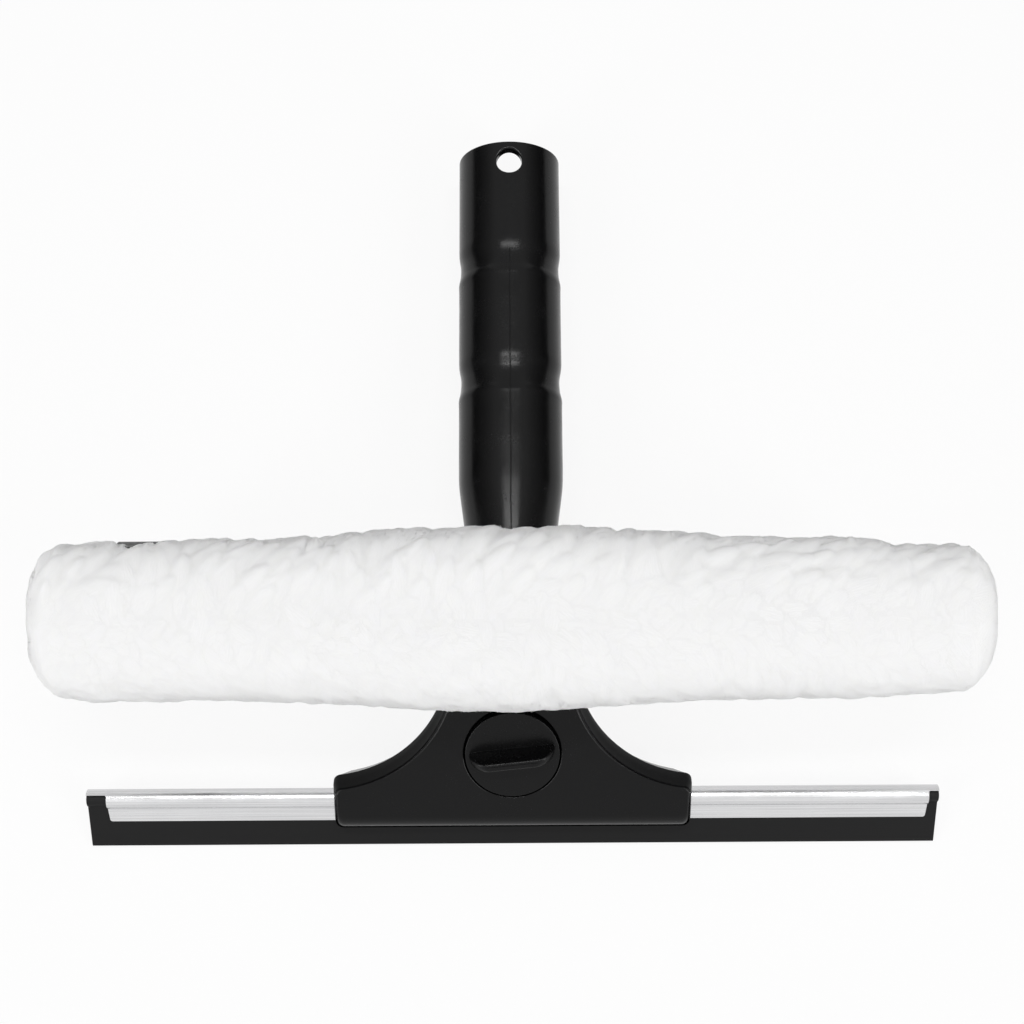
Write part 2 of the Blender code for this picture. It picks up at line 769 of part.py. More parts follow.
def band(name, ends, width, lift):
    """A strip round the sleeve. lift gives its underside's height at an angle."""
    steps = round(abs(ends[1] - ends[0]) / STRAP_STEP)
    rings = []
    for i in range(steps + 1):
        angle = ends[0] + (ends[1] - ends[0]) * i / steps
        low = sleeve_point(angle, lift(angle))
        high = sleeve_point(angle, lift(angle) + STRAP_THICKNESS)
        side = Vector((width / 2, 0, 0))
        rings.append([low - side, low + side, high + side, high - side])
    return loft(name, rings)


def strap_lift(angle):
    over = smooth((PATCH_ENDS[0] + 2 * STRAP_STEP - angle) / (2 * STRAP_STEP))
    return 2 * FIT_GAP + (STRAP_THICKNESS + FIT_GAP) * over


strap_spot = (STRAP_INSET - half_sleeve, 0, 0)
add(
    "sleeve_strap",
    band("sleeve_strap", STRAP_ENDS, STRAP_WIDTH, strap_lift),
    bar_frame,
    strap_spot,
    material=WEBBING,
)
add(
    "sleeve_loop_patch",
    band("sleeve_loop_patch", PATCH_ENDS, STRAP_WIDTH, lambda angle: 2 * FIT_GAP),
    bar_frame,
    strap_spot,
    material=WEBBING,
)


# Head shells
def half_outline(across, rise, radius, half_width, bottom, top, corner):
    """The right half of a head outline from bottom to top, as (across, down)."""
    centre = (across, channel_place - rise)
    points = []
    if corner:
        points += arc(
            (half_width - corner, bottom - corner),
            corner,
            math.pi / 2,
            0,
            CORNER_STEPS,
        )
        join = half_width - corner
        shoulder = centre[1] + math.sqrt(radius**2 - (centre[0] - join) ** 2)
        points += arc(
            (join, shoulder + corner), corner, 0, -math.pi / 2, CORNER_STEPS
        )
    else:
        join = half_width
        shoulder = centre[1] + math.sqrt(radius**2 - (centre[0] - join) ** 2)
        points += [(half_width, bottom), (join, shoulder)]
    start = math.asin((shoulder - centre[1]) / radius)
    end = math.asin(max(top - centre[1], 0) / radius)
    for i in range(1, ARC_STEPS + 1):
        angle = start + (end - start) * i / ARC_STEPS
        points.append(
            (
                centre[0] - radius * math.cos(angle),
                centre[1] + radius * math.sin(angle),
            )
        )
    points.append((points[-1][0], top))
    return points


def head_outline(inset):
    return half_outline(
        FLANK_ACROSS,
        FLANK_RISE,
        FLANK_RADIUS + inset,
        HEAD_HALF_WIDTH - inset,
        head_bottom,
        HEAD_TOP,
        HEAD_CORNER,
    )


def layered(name, layers):
    """A mirrored solid over half outlines, each with a height for every point."""
    bm = bmesh.new()
    rows = []
    spines = []
    for outline, height in layers:
        rows.append([bm.verts.new((x, -y, height(y))) for x, y in outline])
        spines.append([bm.verts.new((0, -y, height(y))) for x, y in outline])
    for first, second in zip(rows, rows[1:]):
        for i in range(len(first) - 1):
            bm.faces.new((first[i], first[i + 1], second[i + 1], second[i]))
    for i in (0, -1):
        for first, second, inner, outer in zip(rows, rows[1:], spines, spines[1:]):
            bm.faces.new((first[i], second[i], outer[i], inner[i]))
    for row, spine in ((rows[0], spines[0]), (rows[-1], spines[-1])):
        for i in range(len(row) - 1):
            bm.faces.new((row[i], row[i + 1], spine[i + 1], spine[i]))
    bmesh.ops.remove_doubles(bm, verts=bm.verts, dist=MERGE)
    return mesh_from(bm, name)


def mirror(item):
    modifier = item.modifiers.new("mirror", "MIRROR")
    modifier.merge_threshold = MERGE
    return item


def face_height(down):
    """The height of the head's front face at a distance down from the elbow."""
    share = (channel_place - FACE_DROP_RISE - down) / FACE_DROP_LENGTH
    return FACE_HEIGHT - FACE_DROP * smooth(share)


def level(height):
    return lambda down: height


face_outline = half_outline(
    FACE_FLANK_ACROSS,
    FACE_FLANK_RISE,
    FACE_FLANK_RADIUS,
    FACE_HALF_WIDTH,
    channel_place + FACE_FOOT,
    HEAD_TOP,
    HEAD_CORNER,
)
front_shell = mirror(
    add(
        "head_front_shell",
        layered(
            "head_front_shell",
            [
                (head_outline(0), level(PARTING)),
                (
                    head_outline(FLANK_DRAFT),
                    lambda down: face_height(down) - FACE_RIM_DEPTH,
                ),
                (face_outline, face_height),
            ],
        ),
        head_frame,
        material=BLACK_PLASTIC,
    )
)
back_outline = half_outline(
    FLANK_ACROSS,
    FLANK_RISE,
    FLANK_RADIUS + BACK_INSET,
    HEAD_HALF_WIDTH - BACK_INSET,
    channel_place + BACK_FOOT,
    HEAD_TOP,
    HEAD_CORNER,
)
rear_shell = mirror(
    add(
        "head_rear_shell",
        layered(
            "head_rear_shell",
            [
                (head_outline(FIT_GAP), level(PARTING - FIT_GAP)),
                (head_outline(BACK_EDGE_INSET), level(-BACK_EDGE_DEPTH)),
                (back_outline, level(-BACK_DEPTH)),
            ],
        ),
        head_frame,
        material=BLACK_PLASTIC,
    )
)


def cavity_outline(inset):
    return half_outline(
        FLANK_ACROSS,
        FLANK_RISE,
        FLANK_RADIUS + SHELL_WALL + inset,
        CAVITY_HALF_WIDTH,
        channel_place - CAVITY_RISE,
        HEAD_TOP + SHELL_WALL,
        0,
    )


face_cavity_outline = half_outline(
    FACE_FLANK_ACROSS,
    FACE_FLANK_RISE,
    FACE_FLANK_RADIUS + SHELL_WALL,
    CAVITY_HALF_WIDTH,
    channel_place - CAVITY_RISE,
    HEAD_TOP + SHELL_WALL,
    0,
)
front_cavity = mirror(
    add(
        "front_cavity",
        layered(
            "front_cavity",
            [
                (cavity_outline(FLANK_DRAFT), level(PARTING - OVERRUN)),
                (
                    cavity_outline(FLANK_DRAFT),
                    lambda down: face_height(down) - FACE_RIM_DEPTH - SHELL_WALL,
                ),
                (face_cavity_outline, lambda down: face_height(down) - SHELL_WALL),
            ],
        ),
        head_frame,
    )
)
rear_cavity = mirror(
    add(
        "rear_cavity",
        layered(
            "rear_cavity",
            [
                (cavity_outline(FLANK_DRAFT), level(PARTING + OVERRUN)),
                (cavity_outline(BACK_INSET), level(-BACK_DEPTH + SHELL_WALL)),
            ],
        ),
        head_frame,
    )
)

# Bosses and the knob's collar stay when the cavities are cut
knob_bore_radius = KNOB_RADIUS + RUN_GAP
knob_collar = add(
    "knob_collar",
    rod_mesh(
        "knob_collar",
        knob_bore_radius + COLLAR_WALL,
        FACE_HEIGHT - COLLAR_DEPTH,
        FACE_HEIGHT + OVERRUN,
        RING_SIDES,
    ),
    knob_pivot,
)
combine(front_cavity, knob_collar)
knob_bore = add(
    "knob_bore",
    rod_mesh(
        "knob_bore",
        knob_bore_radius,
        FACE_HEIGHT - COLLAR_DEPTH - OVERRUN,
        FACE_HEIGHT + OVERRUN,
        RING_SIDES,
    ),
    knob_pivot,
)
shaft_boss = add(
    "shaft_boss",
    rod_mesh(
        "shaft_boss",
        SHAFT_BOSS_RADIUS,
        -BACK_DEPTH - OVERRUN,
        PARTING + 2 * OVERRUN,
        RING_SIDES,
    ),
    knob_pivot,
)
combine(rear_cavity, shaft_boss)
for side, name in ((-1, "left"), (1, "right")):
    for row, (across, rise) in zip(("upper", "lower"), SHELL_SCREW_PLACES):
        spot = (side * across, rise - channel_place, 0)
        boss = add(
            f"boss_{row}_{name}",
            rod_mesh(
                f"boss_{row}_{name}",
                BOSS_RADIUS,
                -BACK_DEPTH - OVERRUN,
                FACE_HEIGHT + OVERRUN,
            ),
            head_frame,
            spot,
        )
        combine(front_cavity, boss)
        combine(rear_cavity, boss)
combine(front_shell, front_cavity)
combine(rear_shell, rear_cavity)
combine(front_shell, knob_bore)

# Window for the elbow's tongue
tongue_window = add(
    "tongue_window",
    loft(
        "tongue_window",
        [
            [
                Vector((x, -place, z))
                for x, z in oval(
                    TONGUE_HALF_WIDTH + FIT_GAP,
                    TONGUE_HALF_DEPTH + FIT_GAP,
                    5,
                    RING_SIDES,
                )
            ]
            for place in (HEAD_TOP - OVERRUN, HEAD_TOP + SHELL_WALL + OVERRUN)
        ],
    ),
    head_frame,
)
combine(front_shell, tongue_window)
combine(rear_shell, tongue_window)


# The channel's seat through both shells
def keyhole(radius, half_width, end):
    """A round back on a straight skirt, as (down, forward) from the round's centre."""
    start = math.asin(half_width / radius)
    ring = arc((0, 0), radius, start, 2 * math.pi - start, RING_SIDES - 2)
    return [(end, half_width)] + ring + [(end, -half_width)]


def along_blade(points):
    """Section points laid in the plane that ALONG_X turns square to the blade."""
    return [(-down, forward) for down, forward in points]


half_blade = BLADE_LENGTH / 2
skirt_outer = RUBBER_HALF_THICKNESS + FIT_GAP + CHANNEL_SHEET
seat = add(
    "channel_seat",
    prism(
        "channel_seat",
        [
            along_blade(
                keyhole(
                    CHANNEL_RADIUS + FIT_GAP,
                    skirt_outer + FIT_GAP,
                    LIP_LENGTH + OVERRUN,
                )
            )
        ],
        -HEAD_HALF_WIDTH - OVERRUN,
        HEAD_HALF_WIDTH + OVERRUN,
    ),
    blade_slide,
    rotation=ALONG_X,
)
combine(front_shell, seat)
combine(rear_shell, seat)

# Clamp jaw: a yoke round the cam with a long foot on the channel
cam_low = CAM_RADIUS - CAM_LIFT
window_half_width = CAM_RADIUS + RUN_GAP
window_low = -CAM_RADIUS - FIT_GAP
foot_bottom = CHANNEL_RADIUS + FIT_GAP - KNOB_RISE
foot_top = foot_bottom + JAW_BAR_HEIGHT
plate_low = foot_top - JAW_PLATE_OVERLAP
plate_outline = [
    (-window_half_width - JAW_RIM, plate_low),
    (window_half_width + JAW_RIM, plate_low),
    (window_half_width + JAW_RIM, window_high + JAW_RIM / 2),
    (window_half_width + JAW_RIM / 2, window_high + JAW_RIM),
    (-window_half_width - JAW_RIM / 2, window_high + JAW_RIM),
    (-window_half_width - JAW_RIM, window_high + JAW_RIM / 2),
]
window_outline = [
    (-window_half_width, window_low),
    (window_half_width, window_low),
    (window_half_width, window_high),
    (-window_half_width, window_high),
]
jaw = add(
    "clamp_jaw",
    prism(
        "clamp_jaw",
        [plate_outline, window_outline],
        JAW_BACK,
        JAW_BACK + JAW_THICKNESS,
    ),
    jaw_slide,
    material=BLACK_PLASTIC,
)
jaw_foot = add(
    "jaw_foot",
    box_mesh(
        "jaw_foot",
        (-JAW_BAR_HALF_LENGTH, foot_bottom, -JAW_BAR_HALF_DEPTH),
        (JAW_BAR_HALF_LENGTH, foot_top, JAW_BAR_HALF_DEPTH),
    ),
    jaw_slide,
)
combine(jaw, jaw_foot, "UNION")
jaw_slot = add(
    "jaw_slot",
    box_mesh(
        "jaw_slot",
        (
            -JAW_BAR_HALF_LENGTH - RUN_GAP,
            foot_bottom - CHANNEL_RADIUS,
            -JAW_BAR_HALF_DEPTH - FIT_GAP,
        ),
        (
            JAW_BAR_HALF_LENGTH + RUN_GAP,
            foot_top + CAM_LIFT + RUN_GAP,
            JAW_BAR_HALF_DEPTH + FIT_GAP,
        ),
    ),
    jaw_slide,
)
combine(front_shell, jaw_slot)
combine(rear_shell, jaw_slot)


# Lock knob: disc, finger bar, hub, cam and shaft in one moulding
def cam_reach(angle):
    """The cam's reach: it falls evenly over the quarter that the knob turns."""
    turn = angle % (2 * math.pi)
    quarter = math.pi / 2
    if turn < quarter:
        return CAM_RADIUS - CAM_LIFT * turn / quarter
    if turn < 2 * quarter:
        return cam_low
    if turn < 3 * quarter:
        return cam_low + CAM_LIFT * (turn - 2 * quarter) / quarter
    return CAM_RADIUS


cam_top = CAM_BACK + CAM_THICKNESS
knob_back = KNOB_FRONT - KNOB_THICKNESS
knob = add(
    "lock_knob",
    turned(
        "lock_knob",
        (
            (0, KNOB_FRONT),
            (KNOB_RADIUS - KNOB_CHAMFER, KNOB_FRONT),
            (KNOB_RADIUS, KNOB_FRONT - KNOB_CHAMFER),
            (KNOB_RADIUS, knob_back),
            (KNOB_HUB_RADIUS, knob_back),
            (KNOB_HUB_RADIUS, cam_top - CAM_THICKNESS / 2),
            (SHAFT_RADIUS, cam_top - CAM_THICKNESS / 2),
            (SHAFT_RADIUS, -SHAFT_END),
            (0, -SHAFT_END),
        ),
        False,
        RING_SIDES,
    ),
    knob_pivot,
    material=BLACK_PLASTIC,
)
cam_outline = []
for step in range(RING_SIDES):
    angle = 2 * math.pi * (step + 0.5) / RING_SIDES
    reach = cam_reach(angle)
    cam_outline.append((reach * math.cos(angle), reach * math.sin(angle)))
cam = add("knob_cam", prism("knob_cam", [cam_outline], CAM_BACK, cam_top), knob_pivot)
combine(knob, cam, "UNION")
finger_rings = []
for tall, long, wide in zip(
    FINGER_BAR_HEIGHT_SHARES, FINGER_BAR_LENGTH_SHARES, FINGER_BAR_WIDTH_SHARES
):
    height = KNOB_FRONT + FINGER_BAR_HEIGHT * tall
    points = oval(
        FINGER_BAR_HALF_LENGTH * long, FINGER_BAR_HALF_WIDTH * wide, 5, RING_SIDES
    )
    finger_rings.append([Vector((x, y, height)) for x, y in points])
finger_bar = add(
    "finger_bar",
    loft("finger_bar", finger_rings),
    knob_pivot,
    rotation=(0, 0, KNOB_REST_ANGLE),
)
combine(knob, finger_bar, "UNION")

# The knob's washer and screw, in a recess behind the rear shell
washer_front = -SHAFT_END - FIT_GAP
washer_back = washer_front - WASHER_THICKNESS
washer_hole = SCREW_SHANK_RADIUS + FIT_GAP
add(
    "knob_washer",
    turned(
        "knob_washer",
        (
            (washer_hole, washer_front),
            (WASHER_RADIUS, washer_front),
            (WASHER_RADIUS, washer_back),
            (washer_hole, washer_back),
        ),
        True,
        RING_SIDES,
    ),
    knob_pivot,
    material=STEEL,
)
screw(
    "knob_screw",
    knob_pivot,
    (0, 0, washer_back - FIT_GAP),
    (0, 0, 0),
    KNOB_SCREW_LENGTH,
)
knob_pilot = add(
    "knob_pilot",
    rod_mesh(
        "knob_pilot",
        washer_hole,
        -SHAFT_END - OVERRUN,
        washer_back + KNOB_SCREW_LENGTH,
    ),
    knob_pivot,
)
combine(knob, knob_pilot)
shaft_hole = add(
    "shaft_hole",
    turned(
        "shaft_hole",
        (
            (0, PARTING + OVERRUN),
            (SHAFT_RADIUS + FIT_GAP, PARTING + OVERRUN),
            (SHAFT_RADIUS + FIT_GAP, -WASHER_RECESS_FLOOR),
            (WASHER_RECESS_RADIUS, -WASHER_RECESS_FLOOR),
            (WASHER_RECESS_RADIUS, -BACK_DEPTH - OVERRUN),
            (0, -BACK_DEPTH - OVERRUN),
        ),
        False,
        RING_SIDES,
    ),
    knob_pivot,
)
combine(rear_shell, shaft_hole)

# Screws behind the head: four join the shells, two hold the rear shell on the tongue
neck_screw_place = neck_place + (tongue_end - neck_place) * NECK_SCREW_SHARE
head_screws = []
for side, name in ((-1, "left"), (1, "right")):
    for row, (across, rise) in zip(("upper", "lower"), SHELL_SCREW_PLACES):
        place = (side * across, channel_place - rise)
        head_screws.append((f"shell_screw_{row}_{name}", *place, SHELL_SCREW_LENGTH))
    place = (side * NECK_SCREW_ACROSS, neck_screw_place)
    head_screws.append((f"neck_screw_{name}", *place, NECK_SCREW_LENGTH))
for name, across, down, length in head_screws:
    seat_height = -BACK_DEPTH + SCREW_RECESS
    screw(
        name,
        head_frame,
        (across, -down, seat_height - FIT_GAP),
        (0, 0, 0),
        length,
    )
    hole = screw_hole(
        f"{name}_hole",
        head_frame,
        (across, -down, seat_height - FIT_GAP),
        (0, 0, 0),
        length,
        SCREW_RECESS + OVERRUN,
    )
    for piece in (rear_shell, front_shell, neck_elbow):
        combine(piece, hole)

# Channel: folded sheet, its front wall notched at both ends
channel_outer = keyhole(CHANNEL_RADIUS, skirt_outer, CHANNEL_SKIRT)
channel_inner = keyhole(
    CHANNEL_RADIUS - CHANNEL_SHEET, skirt_outer - CHANNEL_SHEET, CHANNEL_SKIRT
)
channel = add(
    "blade_channel",
    prism(
        "blade_channel",
        [along_blade(channel_outer + channel_inner[::-1])],
        -half_blade,
        half_blade,
    ),
    blade_slide,
    rotation=ALONG_X,
    material=BRIGHT_METAL,
)
for side, name, notch in ((-1, "left", LEFT_NOTCH), (1, "right", RIGHT_NOTCH)):
    edge = half_blade - notch
    foot = edge - NOTCH_SLANT
    corner = arc(
        (foot - NOTCH_ROUND, NOTCH_ROUND - CHANNEL_SKIRT),
        NOTCH_ROUND,
        0,
        -math.pi / 2,
        CORNER_STEPS,
    )
    outline = [
        (half_blade + OVERRUN, NOTCH_RISE),
        (edge, NOTCH_RISE),
        (edge, -NOTCH_SLANT_DROP),
    ]
    outline += corner
    outline += [
        (foot - NOTCH_ROUND, -CHANNEL_SKIRT - OVERRUN),
        (half_blade + OVERRUN, -CHANNEL_SKIRT - OVERRUN),
    ]
    outline = [(side * x, y) for x, y in outline]
    cutter = add(
        f"notch_{name}",
        prism(f"notch_{name}", [outline], 0, CHANNEL_RADIUS + OVERRUN),
        blade_slide,
    )
    combine(channel, cutter)

add(
    "rubber_blade",
    prism(
        "rubber_blade",
        [
            along_blade(
                keyhole(
                    CHANNEL_RADIUS - CHANNEL_SHEET - FIT_GAP,
                    RUBBER_HALF_THICKNESS,
                    BLADE_REACH,
                )
            )
        ],
        -half_blade,
        half_blade,
    ),
    blade_slide,
    rotation=ALONG_X,
    material=BLACK_RUBBER,
)
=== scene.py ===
"""The looks of a window squeegee and washer in one tool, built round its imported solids.

The sections follow the tool as it is put together: grip, elbow, washer bar, sleeve, its strap,
head, knob, clamp jaw, channel, rubber and screws, and then the table and the light.
Metres, +Z up. X runs along the blade, +Y from the blade to the open end of the grip.
"""

import math

import bmesh
import bpy
import numpy as np
from mathutils import Matrix, Vector


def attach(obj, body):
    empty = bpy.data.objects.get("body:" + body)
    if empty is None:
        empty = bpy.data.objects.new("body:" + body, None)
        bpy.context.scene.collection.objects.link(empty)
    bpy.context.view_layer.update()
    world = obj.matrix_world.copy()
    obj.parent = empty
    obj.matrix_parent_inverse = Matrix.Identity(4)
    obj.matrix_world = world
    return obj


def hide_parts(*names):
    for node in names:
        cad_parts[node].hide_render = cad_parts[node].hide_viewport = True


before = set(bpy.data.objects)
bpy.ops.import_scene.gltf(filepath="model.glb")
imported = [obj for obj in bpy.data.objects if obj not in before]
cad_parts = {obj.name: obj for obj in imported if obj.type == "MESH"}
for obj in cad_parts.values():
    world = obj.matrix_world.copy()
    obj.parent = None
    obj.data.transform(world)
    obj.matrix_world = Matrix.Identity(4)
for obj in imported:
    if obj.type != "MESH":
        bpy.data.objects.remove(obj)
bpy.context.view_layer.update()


# Grip
# A hollow round grip of black polypropylene, moulded in two halves of a mould whose seam
# runs down its front. Two shallow finger grooves, a pole socket and a hole to hang it by.
MM = 0.001
PLASTIC_BLACK = (0.0036, 0.0036, 0.0038, 1)
HANDLE_LENGTH = 197 * MM
GRIP_RADIUS = 21 * MM
RIM_ROUND = 0.6 * MM
GRIP_EASE = 0.6 * MM
# The middle, half length and depth of each groove, from the open end.
GROOVES = ((48.6 * MM, 6.9 * MM, 0.75 * MM), (97.7 * MM, 7.7 * MM, 0.95 * MM))
LIP_RISE = 0.2 * MM
LIP_LENGTH = 1.6 * MM
TAPER_START = 141 * MM
TAPER_LENGTH = 24 * MM
TAPER_SLOPE = 0.132
TAPER_BEND = 1.5 * MM
TAPER_UPRIGHT = 0.2
TAPER_MARGIN = 8 * MM
GRIP_FOOT = 22 * MM
SOCKET_RADIUS = 17.2 * MM
SOCKET_FLOOR = 48 * MM
SOCKET_CONE = 5 * MM
SPIGOT_BORE = 14.6 * MM
HANG_HOLE_RADIUS = 5.15 * MM
HANG_HOLE_PLACE = HANDLE_LENGTH - 8.5 * MM
# How much wider and higher each ring of the hanging hole's mouth is, in millimetres.
HANG_HOLE_FLARE = (
    (0, -1.2), (0.03, -0.9), (0.12, -0.5), (0.3, -0.22), (0.6, -0.06), (1.2, 0.05)
)
HANDLE_SCREWS = (28 * MM, 39 * MM)
WELL_RADIUS = 3.4 * MM
WELL_BORE = 1.8 * MM
WELL_CORE = 0.05 * MM
WELL_TOP, WELL_FLOOR, WELL_MOUTH = -14 * MM, -16.2 * MM, -24 * MM
SEAM_END = 153 * MM
SEAM_HEIGHT = 0.09 * MM
SEAM_WANDER = 0.12 * MM
SEAM_HALF_WIDTHS = (0.05 * MM, 0.28 * MM)
SHARP = math.radians(32)

# The tool rests on the edge of its blade and on the rim of its grip, so the two slopes
# follow from the lengths on both sides of the elbow and from the bend between them.
HEAD_LENGTH = 100 * MM
BEND = math.radians(34.1)
RUBBER_HALF = 1.2 * MM

lever = HANDLE_LENGTH - RIM_ROUND
handle_slope = math.atan2(
    HEAD_LENGTH * math.sin(BEND) + RUBBER_HALF * math.cos(BEND) - GRIP_RADIUS,
    lever + HEAD_LENGTH * math.cos(BEND) - RUBBER_HALF * math.sin(BEND),
)
head_slope = BEND - handle_slope
elbow_height = lever * math.sin(handle_slope) + GRIP_RADIUS * math.cos(handle_slope)
reach_up = HANDLE_LENGTH * math.cos(handle_slope)
reach_up += (GRIP_RADIUS - RIM_ROUND) * math.sin(handle_slope)
reach_down = HEAD_LENGTH * math.cos(head_slope) + RUBBER_HALF * math.sin(head_slope)
elbow = Vector((0, (reach_down - reach_up) / 2, elbow_height))
AT_ELBOW = Matrix.Translation(elbow)
ON_HANDLE = AT_ELBOW @ Matrix.Rotation(-handle_slope, 4, "X")
ON_HEAD = AT_ELBOW @ Matrix.Rotation(head_slope, 4, "X")
seam_top = (ON_HANDLE @ Vector((0, SEAM_END, 0))).y


def smooth(share):
    """A share from 0 to 1 that starts and ends gently."""
    share = min(max(share, 0), 1)
    return share * share * (3 - 2 * share)


def face_out(bm):
    """Turns every face of a closed body outwards."""
    bmesh.ops.recalc_face_normals(bm, faces=bm.faces)
    if bm.calc_volume(signed=True) < 0:
        bmesh.ops.reverse_faces(bm, faces=bm.faces)
    return bm


def circle(radius, count):
    """Points of (x, y) round a circle, from +Y over +X."""
    angles = [2 * math.pi * i / count for i in range(count)]
    return [(radius * math.sin(angle), radius * math.cos(angle)) for angle in angles]


def quarter(steps):
    """The cosine and sine of even steps from 0 to 90 degrees."""
    angles = [math.pi / 2 * step / steps for step in range(steps + 1)]
    return [(math.cos(angle), math.sin(angle)) for angle in angles]


def bridge(bm, rows):
    """Faces from each row of vertices to the next, closed round the rows."""
    count = len(rows[0])
    for first, second in zip(rows, rows[1:]):
        for i in range(count):
            j = (i + 1) % count
            bm.faces.new((first[i], first[j], second[j], second[i]))


def skin(rings, cap=True):
    """A closed skin over rings of equal point counts. Without caps, it closes on itself."""
    bm = bmesh.new()
    rows = [[bm.verts.new(point) for point in ring] for ring in rings]
    bridge(bm, rows if cap else rows + rows[:1])
    if cap:
        bm.faces.new(rows[0])
        bm.faces.new(rows[-1])
    return face_out(bm)


def to_mesh(bm, name):
    mesh = bpy.data.meshes.new(name)
    bm.to_mesh(mesh)
    bm.free()
    return mesh


def edited(mesh, work):
    """Changes a mesh by a function of its bmesh."""
    bm = bmesh.new()
    bm.from_mesh(mesh)
    work(bm)
    bm.to_mesh(mesh)
    bm.free()
    return mesh


def turned(profile, sides, axis="Y", cap=False):
    """A profile of (radius, place) turned about an axis of its own frame."""
    rings = []
    for radius, place in profile:
        ring = circle(radius, sides)
        rings.append([(x, place, y) if axis == "Y" else (x, y, place) for x, y in ring])
    return skin(rings, cap)


def placed(name, data):
    """A new object of a mesh, a lamp or a camera, linked to the scene."""
    item = bpy.data.objects.new(name, data)
    bpy.context.scene.collection.objects.link(item)
    return item


def cut(item, tool, operation="DIFFERENCE", solver="EXACT"):
    """Cuts a tool's mesh out of an object, or joins it, and applies it at once."""
    cutter = placed("cutter", tool)
    modifier = item.modifiers.new("cut", "BOOLEAN")
    modifier.object = cutter
    modifier.operation = operation
    modifier.solver = solver
    apply_modifiers(item)
    bpy.data.objects.remove(cutter)


def apply_modifiers(item):
    """Makes what an object's modifiers give its own mesh."""
    bpy.context.view_layer.update()
    shape = item.evaluated_get(bpy.context.evaluated_depsgraph_get())
    mesh = bpy.data.meshes.new_from_object(shape)
    item.modifiers.clear()
    item.data = mesh


def piece(name, mesh, body, nodes, material=None, place=None, flat=True):
    """A finished piece in the row frame, riding on a body in place of its solids."""
    if place is not None:
        mesh.transform(place)
    item = placed(name, mesh)
    mesh.shade_smooth()
    if flat:
        mesh.set_sharp_from_angle(angle=SHARP)
        modifier = item.modifiers.new("flat_faces", "WEIGHTED_NORMAL")
        modifier.keep_sharp = True
        apply_modifiers(item)
        mesh = item.data
    if material:
        mesh.materials.clear()
        mesh.materials.append(material)
    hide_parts(*nodes)
    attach(item, body)
    return item


def loose(name, bm):
    """An object to be cut before it becomes a piece."""
    return placed(name, to_mesh(bm, name))


def taken(item):
    """The mesh of a cut object, which is then removed."""
    mesh = item.data
    bpy.data.objects.remove(item)
    return mesh


def set_inputs(made, values):
    for key, value in values.items():
        made.inputs[key].default_value = value


def new_material(name, colour, roughness, metallic=0, specular=0.5):
    """A material and its shader."""
    material = bpy.data.materials.new(name)
    material.use_nodes = True
    shader = material.node_tree.nodes["Principled BSDF"]
    values = {"Base Color": colour, "Roughness": roughness, "Metallic": metallic}
    set_inputs(shader, values | {"Specular IOR Level": specular})
    return material, shader


def node(material, kind, **settings):
    """A node with its properties and its unlinked input values."""
    made = material.node_tree.nodes.new(kind)
    for key, value in settings.items():
        if key in made.inputs:
            made.inputs[key].default_value = value
        else:
            setattr(made, key, value)
    return made


def link(material, source, target):
    material.node_tree.links.new(source, target)


def maths(material, operation, first, second=None):
    made = node(material, "ShaderNodeMath", operation=operation)
    for i, value in enumerate((first, second)):
        if isinstance(value, (int, float)):
            made.inputs[i].default_value = value
        elif value is not None:
            link(material, value, made.inputs[i])
    return made.outputs[0]


def noise(material, scale, detail=3, stretch=None, source=None):
    """Noise on object coordinates, which may be stretched along an axis."""
    if source is None:
        source = node(material, "ShaderNodeTexCoord").outputs["Object"]
    if stretch:
        mapping = node(material, "ShaderNodeMapping", Scale=stretch)
        link(material, source, mapping.inputs["Vector"])
        source = mapping.outputs["Vector"]
    made = node(material, "ShaderNodeTexNoise", Scale=scale, Detail=detail)
    link(material, source, made.inputs["Vector"])
    return made.outputs["Fac"]


def ramp(material, source, low, high, from_low=0.3, from_high=0.7):
    """Maps a value from one range to another, clamped."""
    made = node(material, "ShaderNodeMapRange")
    set_inputs(made, {"From Min": from_low, "From Max": from_high, "To Min": low, "To Max": high})
    link(material, source, made.inputs["Value"])
    return made.outputs["Result"]


def worn(material, shader, *parts):
    """A roughness that is the sum of its parts."""
    total = parts[0]
    for part in parts[1:]:
        total = maths(material, "ADD", part, total)
    link(material, total, shader.inputs["Roughness"])


def own_place(material):
    """The object's own coordinates, as outputs X, Y and Z."""
    place = node(material, "ShaderNodeSeparateXYZ")
    coords = node(material, "ShaderNodeTexCoord")
    link(material, coords.outputs["Object"], place.inputs[0])
    return place.outputs


def bump(material, shader, height, distance, below=None):
    made = node(material, "ShaderNodeBump", Distance=distance)
    link(material, height, made.inputs["Height"])
    if below:
        link(material, below, made.inputs["Normal"])
    link(material, made.outputs["Normal"], shader.inputs["Normal"])
    return made.outputs["Normal"]


